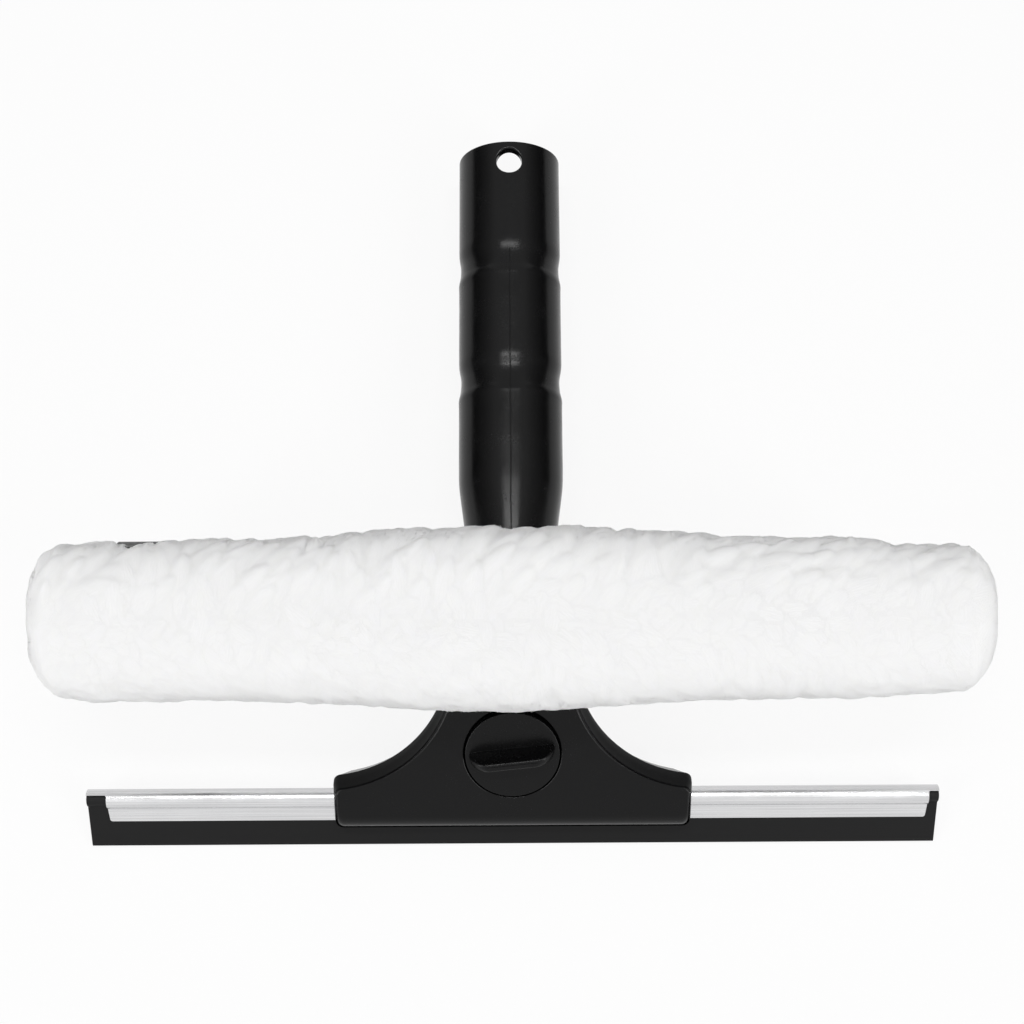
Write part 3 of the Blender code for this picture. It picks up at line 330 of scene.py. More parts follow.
def moulded_plastic(name, roughness, grain, seam=False):
    """Black plastic with a fine spark-eroded grain, handling marks and perhaps a seam."""
    material, shader = new_material(name, PLASTIC_BLACK, roughness, specular=0.17)
    marks = ramp(material, noise(material, 90, 5), -0.05, 0.05)
    specks = ramp(material, noise(material, 900, 2), -0.04, 0.04)
    worn(material, shader, roughness, marks, specks)
    fine = bump(material, shader, noise(material, 1700, 1), grain)
    if seam:
        place = own_place(material)
        wander = ramp(material, noise(material, 40, 1), -SEAM_WANDER, SEAM_WANDER)
        off = maths(material, "ABSOLUTE", maths(material, "ADD", place["X"], wander))
        ridge = ramp(material, off, 1, 0, *SEAM_HALF_WIDTHS)
        above = maths(material, "GREATER_THAN", place["Z"], elbow_height)
        before_end = maths(material, "LESS_THAN", place["Y"], seam_top)
        ridge = maths(material, "MULTIPLY", ridge, above)
        ridge = maths(material, "MULTIPLY", ridge, before_end)
        bump(material, shader, ridge, SEAM_HEIGHT, fine)
    return material


def grip_radius(inset):
    """The grip's radius at a distance from its open end, with every edge eased a little."""
    return sum(drawn_radius(inset + step * GRIP_EASE) for step in range(-2, 3)) / 5


def drawn_radius(inset):
    """A groove eases in from the open end and ends at a lip with a slight roll."""
    radius = GRIP_RADIUS
    for middle, half, depth in GROOVES:
        share = (inset - middle) / half
        if -1 < share < 0:
            radius -= depth * (1 + math.cos(math.pi * share)) / 2 * (1 - 0.25 * share**2)
        elif 0 <= share < 1:
            radius -= depth * (1 - share**2.2)
        beyond = (inset - middle - half) / LIP_LENGTH
        if 0 <= beyond < 6:
            radius += LIP_RISE * math.exp(-beyond)
        elif -1 < beyond < 0:
            radius += LIP_RISE * (1 + beyond) ** 2
    fall = bent(inset - TAPER_START) - bent(inset - TAPER_START - TAPER_LENGTH)
    return radius - TAPER_SLOPE * fall


def bent(run):
    """A run that starts at zero with a rounded bend."""
    return TAPER_BEND * math.log1p(math.exp(min(run / TAPER_BEND, 60)))


def rim(radius, side, steps):
    """The quarter round from the rim's flat end to the outer (1) or inner (-1) wall."""
    return [
        (radius - side * RIM_ROUND * (1 - sine), HANDLE_LENGTH - RIM_ROUND * (1 - cosine))
        for cosine, sine in quarter(steps)
    ]


def grip_mesh():
    """The wall as one turned profile. Its taper draws in at the sides more than in height."""
    foot_inset = HANDLE_LENGTH - GRIP_FOOT
    insets = list(np.arange(2, 38, 4) * MM)
    for middle, half, _ in GROOVES:
        insets += [middle + half * s / 16 for s in range(-18, 17)]
        insets += [middle + half + LIP_LENGTH * s / 5 for s in range(1, 20)]
    insets += [*np.arange(GROOVES[1][0] + 15 * MM, foot_inset, 2 * MM), foot_inset]
    profile = rim(SOCKET_RADIUS, -1, 4)[::-1] + rim(GRIP_RADIUS, 1, 6)
    profile += [(grip_radius(inset), HANDLE_LENGTH - inset) for inset in insets]
    profile += [(SPIGOT_BORE, GRIP_FOOT), (SPIGOT_BORE, SOCKET_FLOOR)]
    profile.append((SOCKET_RADIUS, SOCKET_FLOOR + SOCKET_CONE))
    bm = turned(profile, 160)
    for vert in bm.verts:
        radius = math.hypot(vert.co.x, vert.co.z)
        tapered = vert.co.y < HANDLE_LENGTH - TAPER_START + TAPER_MARGIN
        if tapered and radius > SOCKET_RADIUS + RIM_ROUND / 2:
            vert.co.z *= 1 + (1 - TAPER_UPRIGHT) * (GRIP_RADIUS / radius - 1)
    item = loose("grip", bm)
    cut(item, hang_hole_tool())
    for place in HANDLE_SCREWS:
        cut(item, screw_well(place))
    return taken(item)


def hang_hole_tool():
    """A bore through both walls whose mouths flare along the grip's round surface."""
    rings = []
    for side, flare in ((-1, HANG_HOLE_FLARE[::-1]), (1, HANG_HOLE_FLARE)):
        for wider, higher in flare:
            ring = []
            for x, y in circle(HANG_HOLE_RADIUS + wider * MM, 64):
                surface = math.sqrt(GRIP_RADIUS**2 - x * x)
                ring.append((x, HANG_HOLE_PLACE + y, side * (surface + higher * MM)))
            rings.append(ring)
    outer = [[(x, y, z * 1.4) for x, y, z in ring] for ring in (rings[0], rings[-1])]
    return to_mesh(skin([outer[0], *rings, outer[1]]), "hang_hole")


def screw_well(place):
    """A bore for a screw's shank and a wider one for its head, open at the back."""
    profile = [(WELL_CORE, WELL_TOP), (WELL_BORE, WELL_TOP), (WELL_BORE, WELL_FLOOR)]
    profile += [(WELL_RADIUS, WELL_FLOOR), (WELL_RADIUS, WELL_MOUTH), (WELL_CORE, WELL_MOUTH)]
    bm = turned(profile, 40, axis="Z", cap=True)
    bm.transform(Matrix.Translation((0, place, 0)))
    return to_mesh(bm, "screw_well")


grip_plastic = moulded_plastic("grip_plastic", 0.22, 0.016 * MM, seam=True)
piece("grip", grip_mesh(), "handle", ["handle_grip"], grip_plastic, ON_HANDLE)


# Elbow
# A solid moulding of the same plastic. Its round spigot is screwed into the grip, it bends,
# carries the washer bar on a block at its front, and ends in a flat tongue inside the head.
HEAD_TOP = 12 * MM
COLLAR_RADIUS = 17.4 * MM
COLLAR_PLACE = 21.7 * MM
NECK_HALF_WIDTH = 21.5 * MM
NECK_HALF_DEPTH = 8.3 * MM
TONGUE_HALF = (17 * MM, 5 * MM)
TONGUE_END = 33.7 * MM
SADDLE_HALF = (17 * MM, 12 * MM)
SADDLE_HEIGHT = 18.5 * MM
SADDLE_FOOT = 6 * MM
SADDLE_ROUND = 2 * MM
SPIGOT_PLAY = 0.3 * MM
SPIGOT_TOP = 45 * MM
COLLAR_EASES = (0.5 * MM, 0.15 * MM, 0)
NECK_PLAY = 0.3 * MM

body_plastic = moulded_plastic("body_plastic", 0.4, 0.02 * MM)


def signed_power(value, power):
    return math.copysign(abs(value) ** power, value)


def oval(half_width, half_depth, squareness, count):
    """Points round an oval: an ellipse at a squareness of 2, and squarer above."""
    points = []
    for i in range(count):
        angle = 2 * math.pi * (i + 0.5) / count
        x = signed_power(math.cos(angle), 2 / squareness)
        y = signed_power(math.sin(angle), 2 / squareness)
        points.append((half_width * x, half_depth * y))
    return points


def elbow_mesh():
    """Sections along a bend, from the round spigot over the collar to the flat tongue."""
    def ring(angle, centre, half_width, half_depth, squareness):
        turn = Matrix.Rotation(angle, 3, "X")
        points = oval(half_width, half_depth, squareness, 96)
        return [turn @ Vector((x, 0, z)) + centre for x, z in points]

    up = Matrix.Rotation(-handle_slope, 3, "X") @ Vector((0, 1, 0))
    down = Matrix.Rotation(head_slope, 3, "X") @ Vector((0, -1, 0))
    spigot = SPIGOT_BORE - SPIGOT_PLAY
    rings = [
        ring(-handle_slope, up * place, spigot, spigot, 2) for place in (SPIGOT_TOP, COLLAR_PLACE)
    ]
    for ease in COLLAR_EASES:
        place = up * (COLLAR_PLACE - COLLAR_EASES[0] + ease)
        radius = COLLAR_RADIUS - ease
        rings.append(ring(-handle_slope, place, radius, radius, 2))
    neck = HEAD_TOP - NECK_PLAY
    for step in range(1, 25):
        share = step / 24
        centre = up * COLLAR_PLACE * (1 - share) ** 2 + down * neck * share**2
        angle = head_slope * share - handle_slope * (1 - share)
        blend = smooth(share)
        width = COLLAR_RADIUS + (NECK_HALF_WIDTH - COLLAR_RADIUS) * blend
        depth = COLLAR_RADIUS + (NECK_HALF_DEPTH - COLLAR_RADIUS) * blend
        rings.append(ring(angle, centre, width, depth, 2 + 3 * blend))
    for place in (neck, TONGUE_END):
        rings.append(ring(head_slope, down * place, *TONGUE_HALF, 5))
    item = loose("elbow", skin(rings))
    saddle = rounded_block(*SADDLE_HALF, SADDLE_FOOT, SADDLE_HEIGHT, SADDLE_ROUND)
    cut(item, saddle, "UNION")
    return taken(item)


def rounded_block(half_x, half_y, low, high, radius):
    bm = bmesh.new()
    size = Matrix.Diagonal((2 * half_x, 2 * half_y, high - low, 1))
    place = Matrix.Translation((0, 0, (high + low) / 2))
    bmesh.ops.create_cube(bm, size=1, matrix=place @ size)
    bmesh.ops.bevel(bm, geom=bm.edges, offset=radius, segments=5, profile=0.5, affect="EDGES")
    return to_mesh(bm, "block")


piece("elbow", elbow_mesh(), "handle", ["neck_elbow"], body_plastic, AT_ELBOW)


# Washer bar
# A flat hollow bar with round edges and drain slots that stiffens the sleeve. It is screwed
# onto the elbow's block, and shows only behind, where the sleeve is open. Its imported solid
# is fine enough to show as it is, in the elbow's plastic.
BAR_HALF_HEIGHT = 20 * MM
BAR_HALF_DEPTH = 9 * MM
BAR_OFFSET = 1.2 * MM
BAR_GAP = 0.3 * MM

bar_centre = elbow + Vector((0, BAR_OFFSET, SADDLE_HEIGHT + BAR_GAP + BAR_HALF_DEPTH))
ON_BAR = Matrix.Translation(bar_centre)
bar_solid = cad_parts["washer_bar"].data
bar_solid.materials.clear()
bar_solid.materials.append(body_plastic)


# Washer sleeve
# A tube of white microfibre pile over a foam lining, slipped over the bar. The pile lies in
# soft locks, brushed up to the right above the middle of the front and down to the right
# below it, and is fullest where the elbow's block pushes it out.
SLEEVE_LENGTH = 360 * MM
SLEEVE_HALF_HEIGHT = 32 * MM
SLEEVE_HALF_DEPTH = 22.5 * MM
SLEEVE_SQUARENESS = 2.5
SLEEVE_END_ROUND = 12 * MM
SLEEVE_POINTS = 216
SLIT_HALF_WIDTH = 24 * MM
SLIT_BACK = -30 * MM
SLIT_OVERRUN = 4 * MM
SLIT_FACE = -7 * MM
SLIT_MARGIN = 2 * MM
POCKET_PLAY = 0.3 * MM
POCKET_END = 11.7 * MM
RELIEF = 2.4 * MM
RELIEF_PITCH = 0.8 * MM
LOCK_SPACING = 5.2 * MM
LOCK_LENGTH = 15 * MM
LOCK_HALF_WIDTH = 3.4 * MM
LOCK_BEND = 0.12
LOCK_REACH = 9 * MM
ROOT_CELL = 8 * MM
LOCK_TIP_SHARE = 0.66
LOCK_ROOT_SHARE = 0.3
LINE_DEPTH = 0.085 * MM
GLOW_DEPTH = 6 * MM
FIBRE_LENGTH = 1.1 * MM
FIBRE_HALF_WIDTH = 0.16 * MM
FIBRE_SPACING = 1.3 * MM
FIBRE_LEAN = 0.8
FIBRE_ROOT = 0.3 * MM
STRAP_START = 19
STRAP_WIDTH = 17.5 * MM
STRAP_MIDDLE = -142.5 * MM
STRAP_LIFT = 0.6 * MM
STRAP_SINK = -5.9 * MM
STRAP_OVERLAP = 1.5 * MM
# The middle and half width of the strap's part that shows over the upper edge.
STRAP_BARE = (-139.6 * MM, 5.6 * MM)
PILE_WAVES = (1.9 * MM, 0.9 * MM)
PILE_FADE = 1.6 * MM
BED_DEPTH = 0.15 * MM


def fleece(name, along_lock=False):
    """White pile, lit through, with fine lines along each lock."""
    white = (0.97, 0.97, 0.966, 1)
    material, shader = new_material(name, white, 0.95, specular=0.1)
    glow = {"Weight": 0.9, "Radius": (1, 1, 0.97), "Scale": GLOW_DEPTH}
    set_inputs(shader, {f"Subsurface {key}": value for key, value in glow.items()})
    if along_lock:
        lock = node(material, "ShaderNodeAttribute", attribute_name="lock")
        lines = noise(material, 1, 3, (1900, 320, 1), lock.outputs["Vector"])
    else:
        lines = noise(material, 700, 4)
    bump(material, shader, lines, LINE_DEPTH)
    shaded(material, shader, lines, (0.96, 0.96, 0.956, 1), (0.985, 0.985, 0.981, 1))
    return material


def shaded(material, shader, pattern, dark, light):
    """A base colour that follows a pattern from a dark to a light one."""
    mix = node(material, "ShaderNodeMix", data_type="RGBA", A=dark, B=light)
    link(material, ramp(material, pattern, 0, 1), mix.inputs["Factor"])
    link(material, mix.outputs["Result"], shader.inputs["Base Color"])


def flat_bar(half_height, half_depth, steps):
    """The bar's section as (height, depth) points."""
    straight = half_height - half_depth
    points = []
    for start, middle in ((0, straight), (math.pi, -straight)):
        for i in range(steps + 1):
            angle = start - math.pi / 2 + math.pi * i / steps
            height, depth = half_depth * math.cos(angle), half_depth * math.sin(angle)
            points.append((middle + height, depth))
    return points


def along_x(section, low, high):
    """A section of (y, z) points run along X."""
    return skin([[(x, y, z) for y, z in section] for x in (low, high)])


def sleeve_form():
    """The sleeve's outer form as a grid of points, rings along X closed over both ends."""
    inner = SLEEVE_LENGTH / 2 - SLEEVE_END_ROUND
    spots = []
    for cosine, sine in quarter(round(SLEEVE_END_ROUND * math.pi / 2 / RELIEF_PITCH)):
        place = SLEEVE_LENGTH / 2 - SLEEVE_END_ROUND * (1 - sine)
        spots.append((place, 1 - SLEEVE_END_ROUND / SLEEVE_HALF_DEPTH * (1 - cosine)))
    tip, share = spots[-1]
    spots += [(tip, share * (1 - step / 14)) for step in range(1, 14)]
    left = [(-place, share) for place, share in reversed(spots)]
    count = round(2 * inner / RELIEF_PITCH)
    middle = [(inner * (2 * i / count - 1), 1) for i in range(1, count)]
    rings = []
    for place, share in left + middle + spots:
        height, depth = SLEEVE_HALF_HEIGHT * share, SLEEVE_HALF_DEPTH * share
        section = oval(height, depth, SLEEVE_SQUARENESS, SLEEVE_POINTS)
        rings.append([(place, y, z) for y, z in section])
    return np.array(rings)


def unit(vectors):
    return vectors / np.linalg.norm(vectors, axis=-1, keepdims=True)


def combed(form):
    """The outward direction at each point, the way the pile is brushed there, and how far
    up and across the sleeve the point lies, from -1 to 1."""
    along = np.gradient(form, axis=0)
    around = np.roll(form, -1, axis=1) - np.roll(form, 1, axis=1)
    out = unit(np.cross(around, along))
    if (out * form)[..., 1:].sum() < 0:
        out = -out
    x = form[..., 0]
    up = form[..., 1] / SLEEVE_HALF_HEIGHT
    across = x / (SLEEVE_LENGTH / 2)
    part = np.clip((up + 0.1) * 2.5, -1, 1)[..., None]
    places, turns = (-1, -0.95, -0.75, -0.3, 0.1, 0.4, 1), (0.1, 0.25, 0.5, 0.6, 0.65, 1.1, 1.2)
    right = np.where(up > -0.1, np.interp(across, places, turns), 0.75)
    wander = 0.35 * np.sin(x * 71 + 3 * up) + 0.25 * np.sin(x * 173 - 7 * up)
    comb = -unit(around) * part
    comb[..., 0] += right + wander
    comb -= out * (comb * out).sum(-1, keepdims=True)
    return out, unit(comb), up, across


def lock_roots(form, size):
    """Points at least a lock's spacing apart, each as a ring and a place on it."""
    picked, cells = [], {}
    order = np.random.default_rng(7).permutation(form.shape[0] * form.shape[1])
    for index in order:
        i, j = divmod(int(index), form.shape[1])
        point = form[i, j]
        room = LOCK_SPACING * size[i, j]
        cell = tuple((point // ROOT_CELL).astype(int))
        near = [
            other
            for x in (-1, 0, 1) for y in (-1, 0, 1) for z in (-1, 0, 1)
            for other in cells.get((cell[0] + x, cell[1] + y, cell[2] + z), ())
        ]
        if all(((point - form[k]) ** 2).sum() > room * room for k in near):
            picked.append((i, j))
            cells.setdefault(cell, []).append((i, j))
    return picked


def lock_form(along, aside):
    """One lock's height, from its root at 0 along to its round tip at 1."""
    past_tip = (along - LOCK_TIP_SHARE) / (1 - LOCK_TIP_SHARE)
    body = np.where(along > LOCK_TIP_SHARE, np.sqrt(np.clip(1 - past_tip**2, 0, 1)), 1)
    root = LOCK_ROOT_SHARE
    rise = root + (1 - root) * np.sin(np.pi / 2 * np.clip(along / (1 - root), 0, 1))
    rise = np.where(along < 0, root * np.clip(1 + along / root, 0, 1), rise)
    narrow = 0.72 + 0.28 * np.sin(np.pi * np.clip(along, 0, 1))
    over = aside / (narrow * np.maximum(body, 0.15))
    return rise * body * np.clip(1 - over * over, 0, 1) ** 0.55


def lock_relief(form, out, comb, up, across):
    """The pile's height at each point, as the highest of the locks that lie over it."""
    stand = 1 - np.minimum(np.abs(up + 0.1) * 2.2, 1)
    middle = np.exp(-((across - 0.05) / 0.4) ** 2) * np.clip(up * 2, 0, 1)
    size = 1 + 0.35 * middle - 0.18 * np.clip(-up * 2, 0, 1)
    crumbs = np.clip((-0.6 - across) * 5, 0, 1) * np.clip((-0.15 - up) * 4, 0, 1)
    height = np.zeros(form.shape[:2])
    lock = np.zeros(form.shape)
    draw = np.random.default_rng(3)
    reach = round(1.5 * LOCK_LENGTH / RELIEF_PITCH)
    places = form[:, 0, 0]
    for number, (i, j) in enumerate(lock_roots(form, size)):
        grow = size[i, j] * draw.uniform(0.8, 1.2)
        length = LOCK_LENGTH * grow * (1 - 0.5 * stand[i, j]) * (1 - 0.5 * crumbs[i, j])
        width = LOCK_HALF_WIDTH * grow * draw.uniform(0.8, 1.15)
        tall = draw.uniform(0.55, 1.0)
        turn = draw.normal(0, 0.22 + 0.9 * stand[i, j])
        side = np.cross(out[i, j], comb[i, j])
        aim = comb[i, j] * math.cos(turn) + side * math.sin(turn)
        side = np.cross(out[i, j], aim)
        rows = np.flatnonzero(np.abs(places - places[i]) < 1.4 * length)
        at_end = np.abs(places[i]) > SLEEVE_LENGTH / 2 - SLEEVE_END_ROUND / 2
        columns = np.arange(SLEEVE_POINTS)
        if not at_end:
            columns = np.arange(j - reach, j + reach + 1) % SLEEVE_POINTS
        patch = np.ix_(rows, columns)
        offset = form[patch] - form[i, j]
        aside = offset @ side / width
        along = offset @ aim / length + LOCK_BEND * aside * aside
        near = np.abs(offset @ out[i, j]) < LOCK_REACH
        value = tall * lock_form(along, aside) * near
        better = value > height[patch]
        height[patch] = np.where(better, value, height[patch])
        code = np.stack((aside * width, along * length, np.full_like(along, number * 0.37)), -1)
        lock[patch] = np.where(better[..., None], code, lock[patch])
    return softened_by_place(height, up, across), lock


def softened_by_place(height, up, across):
    """Crisp locks along the upper and lower sides, and a smooth middle."""
    height = softened(height, 2)
    even = softened(height, 80)
    soft = softened(height, 8)
    height = soft + (height - soft) * np.clip(up * 2.2 - 0.3, 0, 1)
    above = np.clip(up * 2 - 0.3, 0, 1.2)
    below = np.clip(-up * 1.5 - 0.7, 0, 0.75)
    matted = 0.07 + 0.14 * np.clip(-across * 2 - 0.3, 0, 1)
    return even + (height - even) * np.maximum(np.maximum(above, below), matted)


def softened(height, turns):
    """The height with each point drawn towards its neighbours, a number of times."""
    for _ in range(turns):
        beside = np.roll(height, 1, axis=1) + np.roll(height, -1, axis=1)
        along = np.vstack((height[:1], height[:-1])) + np.vstack((height[1:], height[-1:]))
        height = 0.5 * height + 0.125 * (beside + along)
    return height


def fullness(up, across):
    """How far the pile's crests stand out of the sleeve's plain form."""
    top_places = (-1, -0.92, -0.68, -0.5, -0.4, -0.33, -0.21, 0.1, 0.2, 0.35, 0.52, 0.7, 0.8, 1)
    top = (-3.4, -2.7, -1.4, -1.2, -0.1, 0.7, 3, 3, 2.5, 1, -1.6, -1.3, -4.2, -5.2)
    low_places = (-1, -0.95, -0.86, -0.6, -0.32, -0.22, -0.1, 0.02, 0.18, 0.3, 0.45, 0.75, 0.93, 1)
    low = (-4.9, -3, -0.1, -0.8, 0.9, 2.8, 3.7, 3.9, 2.3, 1, -0.2, -0.4, -3, -5.2)
    top = np.interp(across, top_places, np.array(top) * MM)
    low = np.interp(across, low_places, np.array(low) * MM)
    return top * np.clip(up, 0, 1) ** 2 + low * np.clip(-up, 0, 1) ** 2


def strap_lift(angle):
    """How far the strap lies over the sleeve's plain form, by the place round it."""
    over = smooth((math.radians(-48) - angle) / math.radians(20))
    sunk = smooth((math.radians(30) + angle) / math.radians(25))
    return STRAP_LIFT + STRAP_OVERLAP * over + STRAP_SINK * sunk


def strap_bed(form, round_back):
    """1 where the strap presses the pile flat, with a ragged edge over the upper side."""
    x = form[..., 0]
    long_wave, short_wave = PILE_WAVES
    ragged = 3 * np.abs((x / long_wave) % 2 - 1) + 2 * np.sin(x / short_wave)
    front = round_back > -12
    middle, half = STRAP_BARE
    middle, half = np.where(front, middle, STRAP_MIDDLE), np.where(front, half, STRAP_WIDTH / 2)
    pressed = np.clip(1 - (np.abs(x - middle) - half) / PILE_FADE, 0, 1)
    return pressed * np.clip((STRAP_START - ragged - round_back) / 3, 0, 1) * (round_back > -146)


def sleeve_body():
    """The pile's relief as one closed body with the bar's pocket and the rear slit."""
    form = sleeve_form()
    out, comb, up, across = combed(form)
    round_back = np.degrees(np.arctan2(form[..., 2], form[..., 1]))
    pressed = strap_bed(form, round_back)
    height, lock = lock_relief(form, out, comb, up, across)
    rise = fullness(up, across) - RELIEF * (1 - height)
    bed = np.vectorize(strap_lift)(np.radians(round_back)) - BED_DEPTH
    rise = rise + (np.minimum(bed, rise) - rise) * pressed
    points = (form + out * rise[..., None]).reshape(-1, 3)
    rings, around = form.shape[:2]
    first = np.arange(rings - 1)[:, None] * around + np.arange(around)[None]
    second = np.arange(rings - 1)[:, None] * around + (np.arange(around) + 1)[None] % around
    quads = np.stack((first, second, second + around, first + around), -1).reshape(-1, 4)
    caps = [list(range(around)), [len(points) - 1 - k for k in range(around)]]
    mesh = bpy.data.meshes.new("sleeve_body")
    mesh.from_pydata(points.tolist(), [], quads.tolist() + caps)
    store(mesh, "lock", "FLOAT_VECTOR", "vector", lock.reshape(-1, 3))
    store(mesh, "brushed", "FLOAT_VECTOR", "vector", comb.reshape(-1, 3))
    in_slit = np.abs(form[..., 0]) < SLIT_HALF_WIDTH + SLIT_MARGIN
    in_slit &= form[..., 2] < SLIT_FACE
    edges = np.clip((up - 0.84) * 10, 0, 1) + np.clip((-up - 0.93) * 16, 0, 1)
    edges = edges + np.clip((np.abs(across) - 0.975) * 60, 0, 1)
    dense = np.where(in_slit, 0.0, np.clip(edges, 0, 1) * (1 - pressed))
    store(mesh, "dense", "FLOAT", "value", dense.reshape(-1))
    item = placed("sleeve_body", edited(mesh, face_out))
    fibres = grow_fibres(item, fibre_object())
    half = SLEEVE_LENGTH / 2 - POCKET_END
    pocket = flat_bar(BAR_HALF_HEIGHT + POCKET_PLAY, BAR_HALF_DEPTH + POCKET_PLAY, 16)
    slit_top = POCKET_PLAY - BAR_HALF_DEPTH
    tall = SLEEVE_HALF_HEIGHT + SLIT_OVERRUN
    slit = rounded_block(SLIT_HALF_WIDTH, tall, SLIT_BACK, slit_top, MM)
    for tool in (to_mesh(along_x(pocket, -half, half), "pocket"), slit):
        cut(item, tool, solver="MANIFOLD")
    return taken(item), fibres


def store(mesh, name, kind, key, values):
    layer = mesh.attributes.new(name, kind, "POINT")
    layer.data.foreach_set(key, np.array(values, "f").ravel())


def fibre_object():
    """A fine tapered fibre of pile along +Z that bends over to -Y."""
    rings = []
    for along, wide in ((0, 1), (0.55, 0.8), (1, 0.25)):
        ring = []
        for i in range(3):
            angle = 2 * math.pi * i / 3
            x, y = wide * math.cos(angle), wide * math.sin(angle)
            bend = -0.2 * FIBRE_LENGTH * along * along
            x, y = x * FIBRE_HALF_WIDTH, y * FIBRE_HALF_WIDTH + bend
            ring.append((x, y, along * FIBRE_LENGTH))
        rings.append(ring)
    mesh = to_mesh(skin(rings), "fibre")
    mesh.shade_smooth()
    return placed("fibre", mesh)


class Tree:
    """A Geometry Nodes tree under construction."""

    def __init__(self, name, inputs):
        self.group = bpy.data.node_groups.new(name, "GeometryNodeTree")
        face = self.group.interface
        face.new_socket("Geometry", in_out="INPUT", socket_type="NodeSocketGeometry")
        self.keys = {}
        for label, kind, value in inputs:
            made = face.new_socket(label, in_out="INPUT", socket_type=f"NodeSocket{kind}")
            if not isinstance(value, bpy.types.ID):
                made.default_value = value
            self.keys[made.identifier] = value
        face.new_socket("Geometry", in_out="OUTPUT", socket_type="NodeSocketGeometry")
        self.inputs = self.add("NodeGroupInput").outputs
        self.result = self.add("NodeGroupOutput").inputs["Geometry"]

    def add(self, kind, **settings):
        """A node with its properties, its fixed values and its links."""
        made = self.group.nodes.new(kind)
        for key, value in settings.items():
            if hasattr(made, key):
                setattr(made, key, value)
        for key, value in settings.items():
            if not hasattr(made, key):
                self.feed(made.inputs[key.replace("_", " ")], value)
        return made

    def feed(self, socket, value):
        """Links an output to a socket, or sets the socket's own value."""
        if isinstance(value, bpy.types.NodeSocket):
            self.group.links.new(value, socket)
        else:
            socket.default_value = value

    def named(self, name, kind="FLOAT_VECTOR"):
        made = self.add("GeometryNodeInputNamedAttribute", data_type=kind, Name=name)
        return made.outputs["Attribute"]

    def random(self, low, high, seed):
        made = self.add("FunctionNodeRandomValue", data_type="FLOAT_VECTOR", Min=low, Max=high)
        made.inputs["Seed"].default_value = seed
        return made.outputs["Value"]

    def scaled(self, vector, scale):
        made = self.add("ShaderNodeVectorMath", operation="SCALE", Scale=scale)
        self.feed(made.inputs[0], vector)
        return made.outputs["Vector"]

    def total(self, first, second):
        made = self.add("ShaderNodeVectorMath", operation="ADD")
        self.feed(made.inputs[0], first)
        self.feed(made.inputs[1], second)
        return made.outputs["Vector"]

    def plant(self, label, points, **placing):
        """Ends the tree: an input object on each point, made real and given its finish."""
        shape = self.add("GeometryNodeObjectInfo", Object=self.inputs[label])
        planted = self.add(
            "GeometryNodeInstanceOnPoints",
            Points=points,
            Instance=shape.outputs["Geometry"],
            **placing,
        )
        real = self.add("GeometryNodeRealizeInstances", Geometry=planted.outputs["Instances"])
        finish = self.add(
            "GeometryNodeSetMaterial",
            Geometry=real.outputs["Geometry"],
            Material=self.inputs["Finish"],
        )
        self.feed(self.result, finish.outputs["Geometry"])

    def run(self, item, name):
        """The plain mesh that the tree makes of an object, which is then removed."""
        modifier = item.modifiers.new(name, "NODES")
        modifier.node_group = self.group
        for identifier, value in self.keys.items():
            modifier[identifier] = value
        apply_modifiers(item)
        mesh = taken(item)
        mesh.name = name
        return mesh


def grow_fibres(ground, fibre):
    """Fine fibres scattered over the locks and brushed with them."""
    tree = Tree(
        "grow_fibres",
        (
            ("Fibre", "Object", fibre),
            ("Spacing", "Float", FIBRE_SPACING),
            ("Lean", "Float", FIBRE_LEAN),
            ("Stray", "Float", 0.35),
            ("Smallest", "Vector", (0.7, 0.7, 0.5)),
            ("Largest", "Vector", (1.3, 1.3, 1.1)),
            ("Seed", "Int", 11),
            ("Finish", "Material", fibre_white),
        ),
    )
    given = tree.inputs
    scatter = tree.add(
        "GeometryNodeDistributePointsOnFaces",
        distribute_method="POISSON",
        Mesh=given["Geometry"],
        Distance_Min=given["Spacing"],
        Density_Max=1.2 / FIBRE_SPACING**2,
        Density_Factor=tree.named("dense", "FLOAT"),
        Seed=given["Seed"],
    )
    normal = scatter.outputs["Normal"]
    lift = tree.scaled(normal, given["Lean"])
    spread = tree.scaled(tree.random((-1.0, -1.0, -1.0), (1.0, 1.0, 1.0), 3), given["Stray"])
    aim = tree.total(tree.total(tree.named("brushed"), lift), spread)
    along = tree.add("FunctionNodeAlignRotationToVector", axis="Z", Vector=aim)
    facing = tree.add(
        "FunctionNodeAlignRotationToVector",
        axis="Y",
        pivot_axis="Z",
        Rotation=along.outputs["Rotation"],
        Vector=normal,
    )
    size = tree.random(given["Smallest"], given["Largest"], 5)
    sunk = tree.add(
        "GeometryNodeSetPosition",
        Geometry=scatter.outputs["Points"],
        Offset=tree.scaled(normal, -FIBRE_ROOT),
    )
    tree.plant(
        "Fibre", sunk.outputs["Geometry"], Rotation=facing.outputs["Rotation"], Scale=size
    )
    mesh = tree.run(placed("pile_ground", ground.data.copy()), "fibres")
    bpy.data.objects.remove(fibre)
    return mesh


def joined(name, meshes, materials):
    """One mesh of several, each with the material in its place."""
    bm = bmesh.new()
    for index, mesh in enumerate(meshes):
        before = len(bm.faces)
        bm.from_mesh(mesh)
        bm.faces.ensure_lookup_table()
        for face in bm.faces[before:]:
            face.material_index = index
            face.smooth = True
    mesh = to_mesh(bm, name)
    mesh.materials.clear()
    for material in materials:
        mesh.materials.append(material)
    return mesh


pile_white = fleece("pile_white", along_lock=True)
fibre_white = fleece("fibre_white")
sleeve = piece(
    "sleeve",
    joined("sleeve", sleeve_body(), [pile_white, fibre_white]),
    "handle",
    ["washer_sleeve"],
    place=ON_BAR,
    flat=False,
)


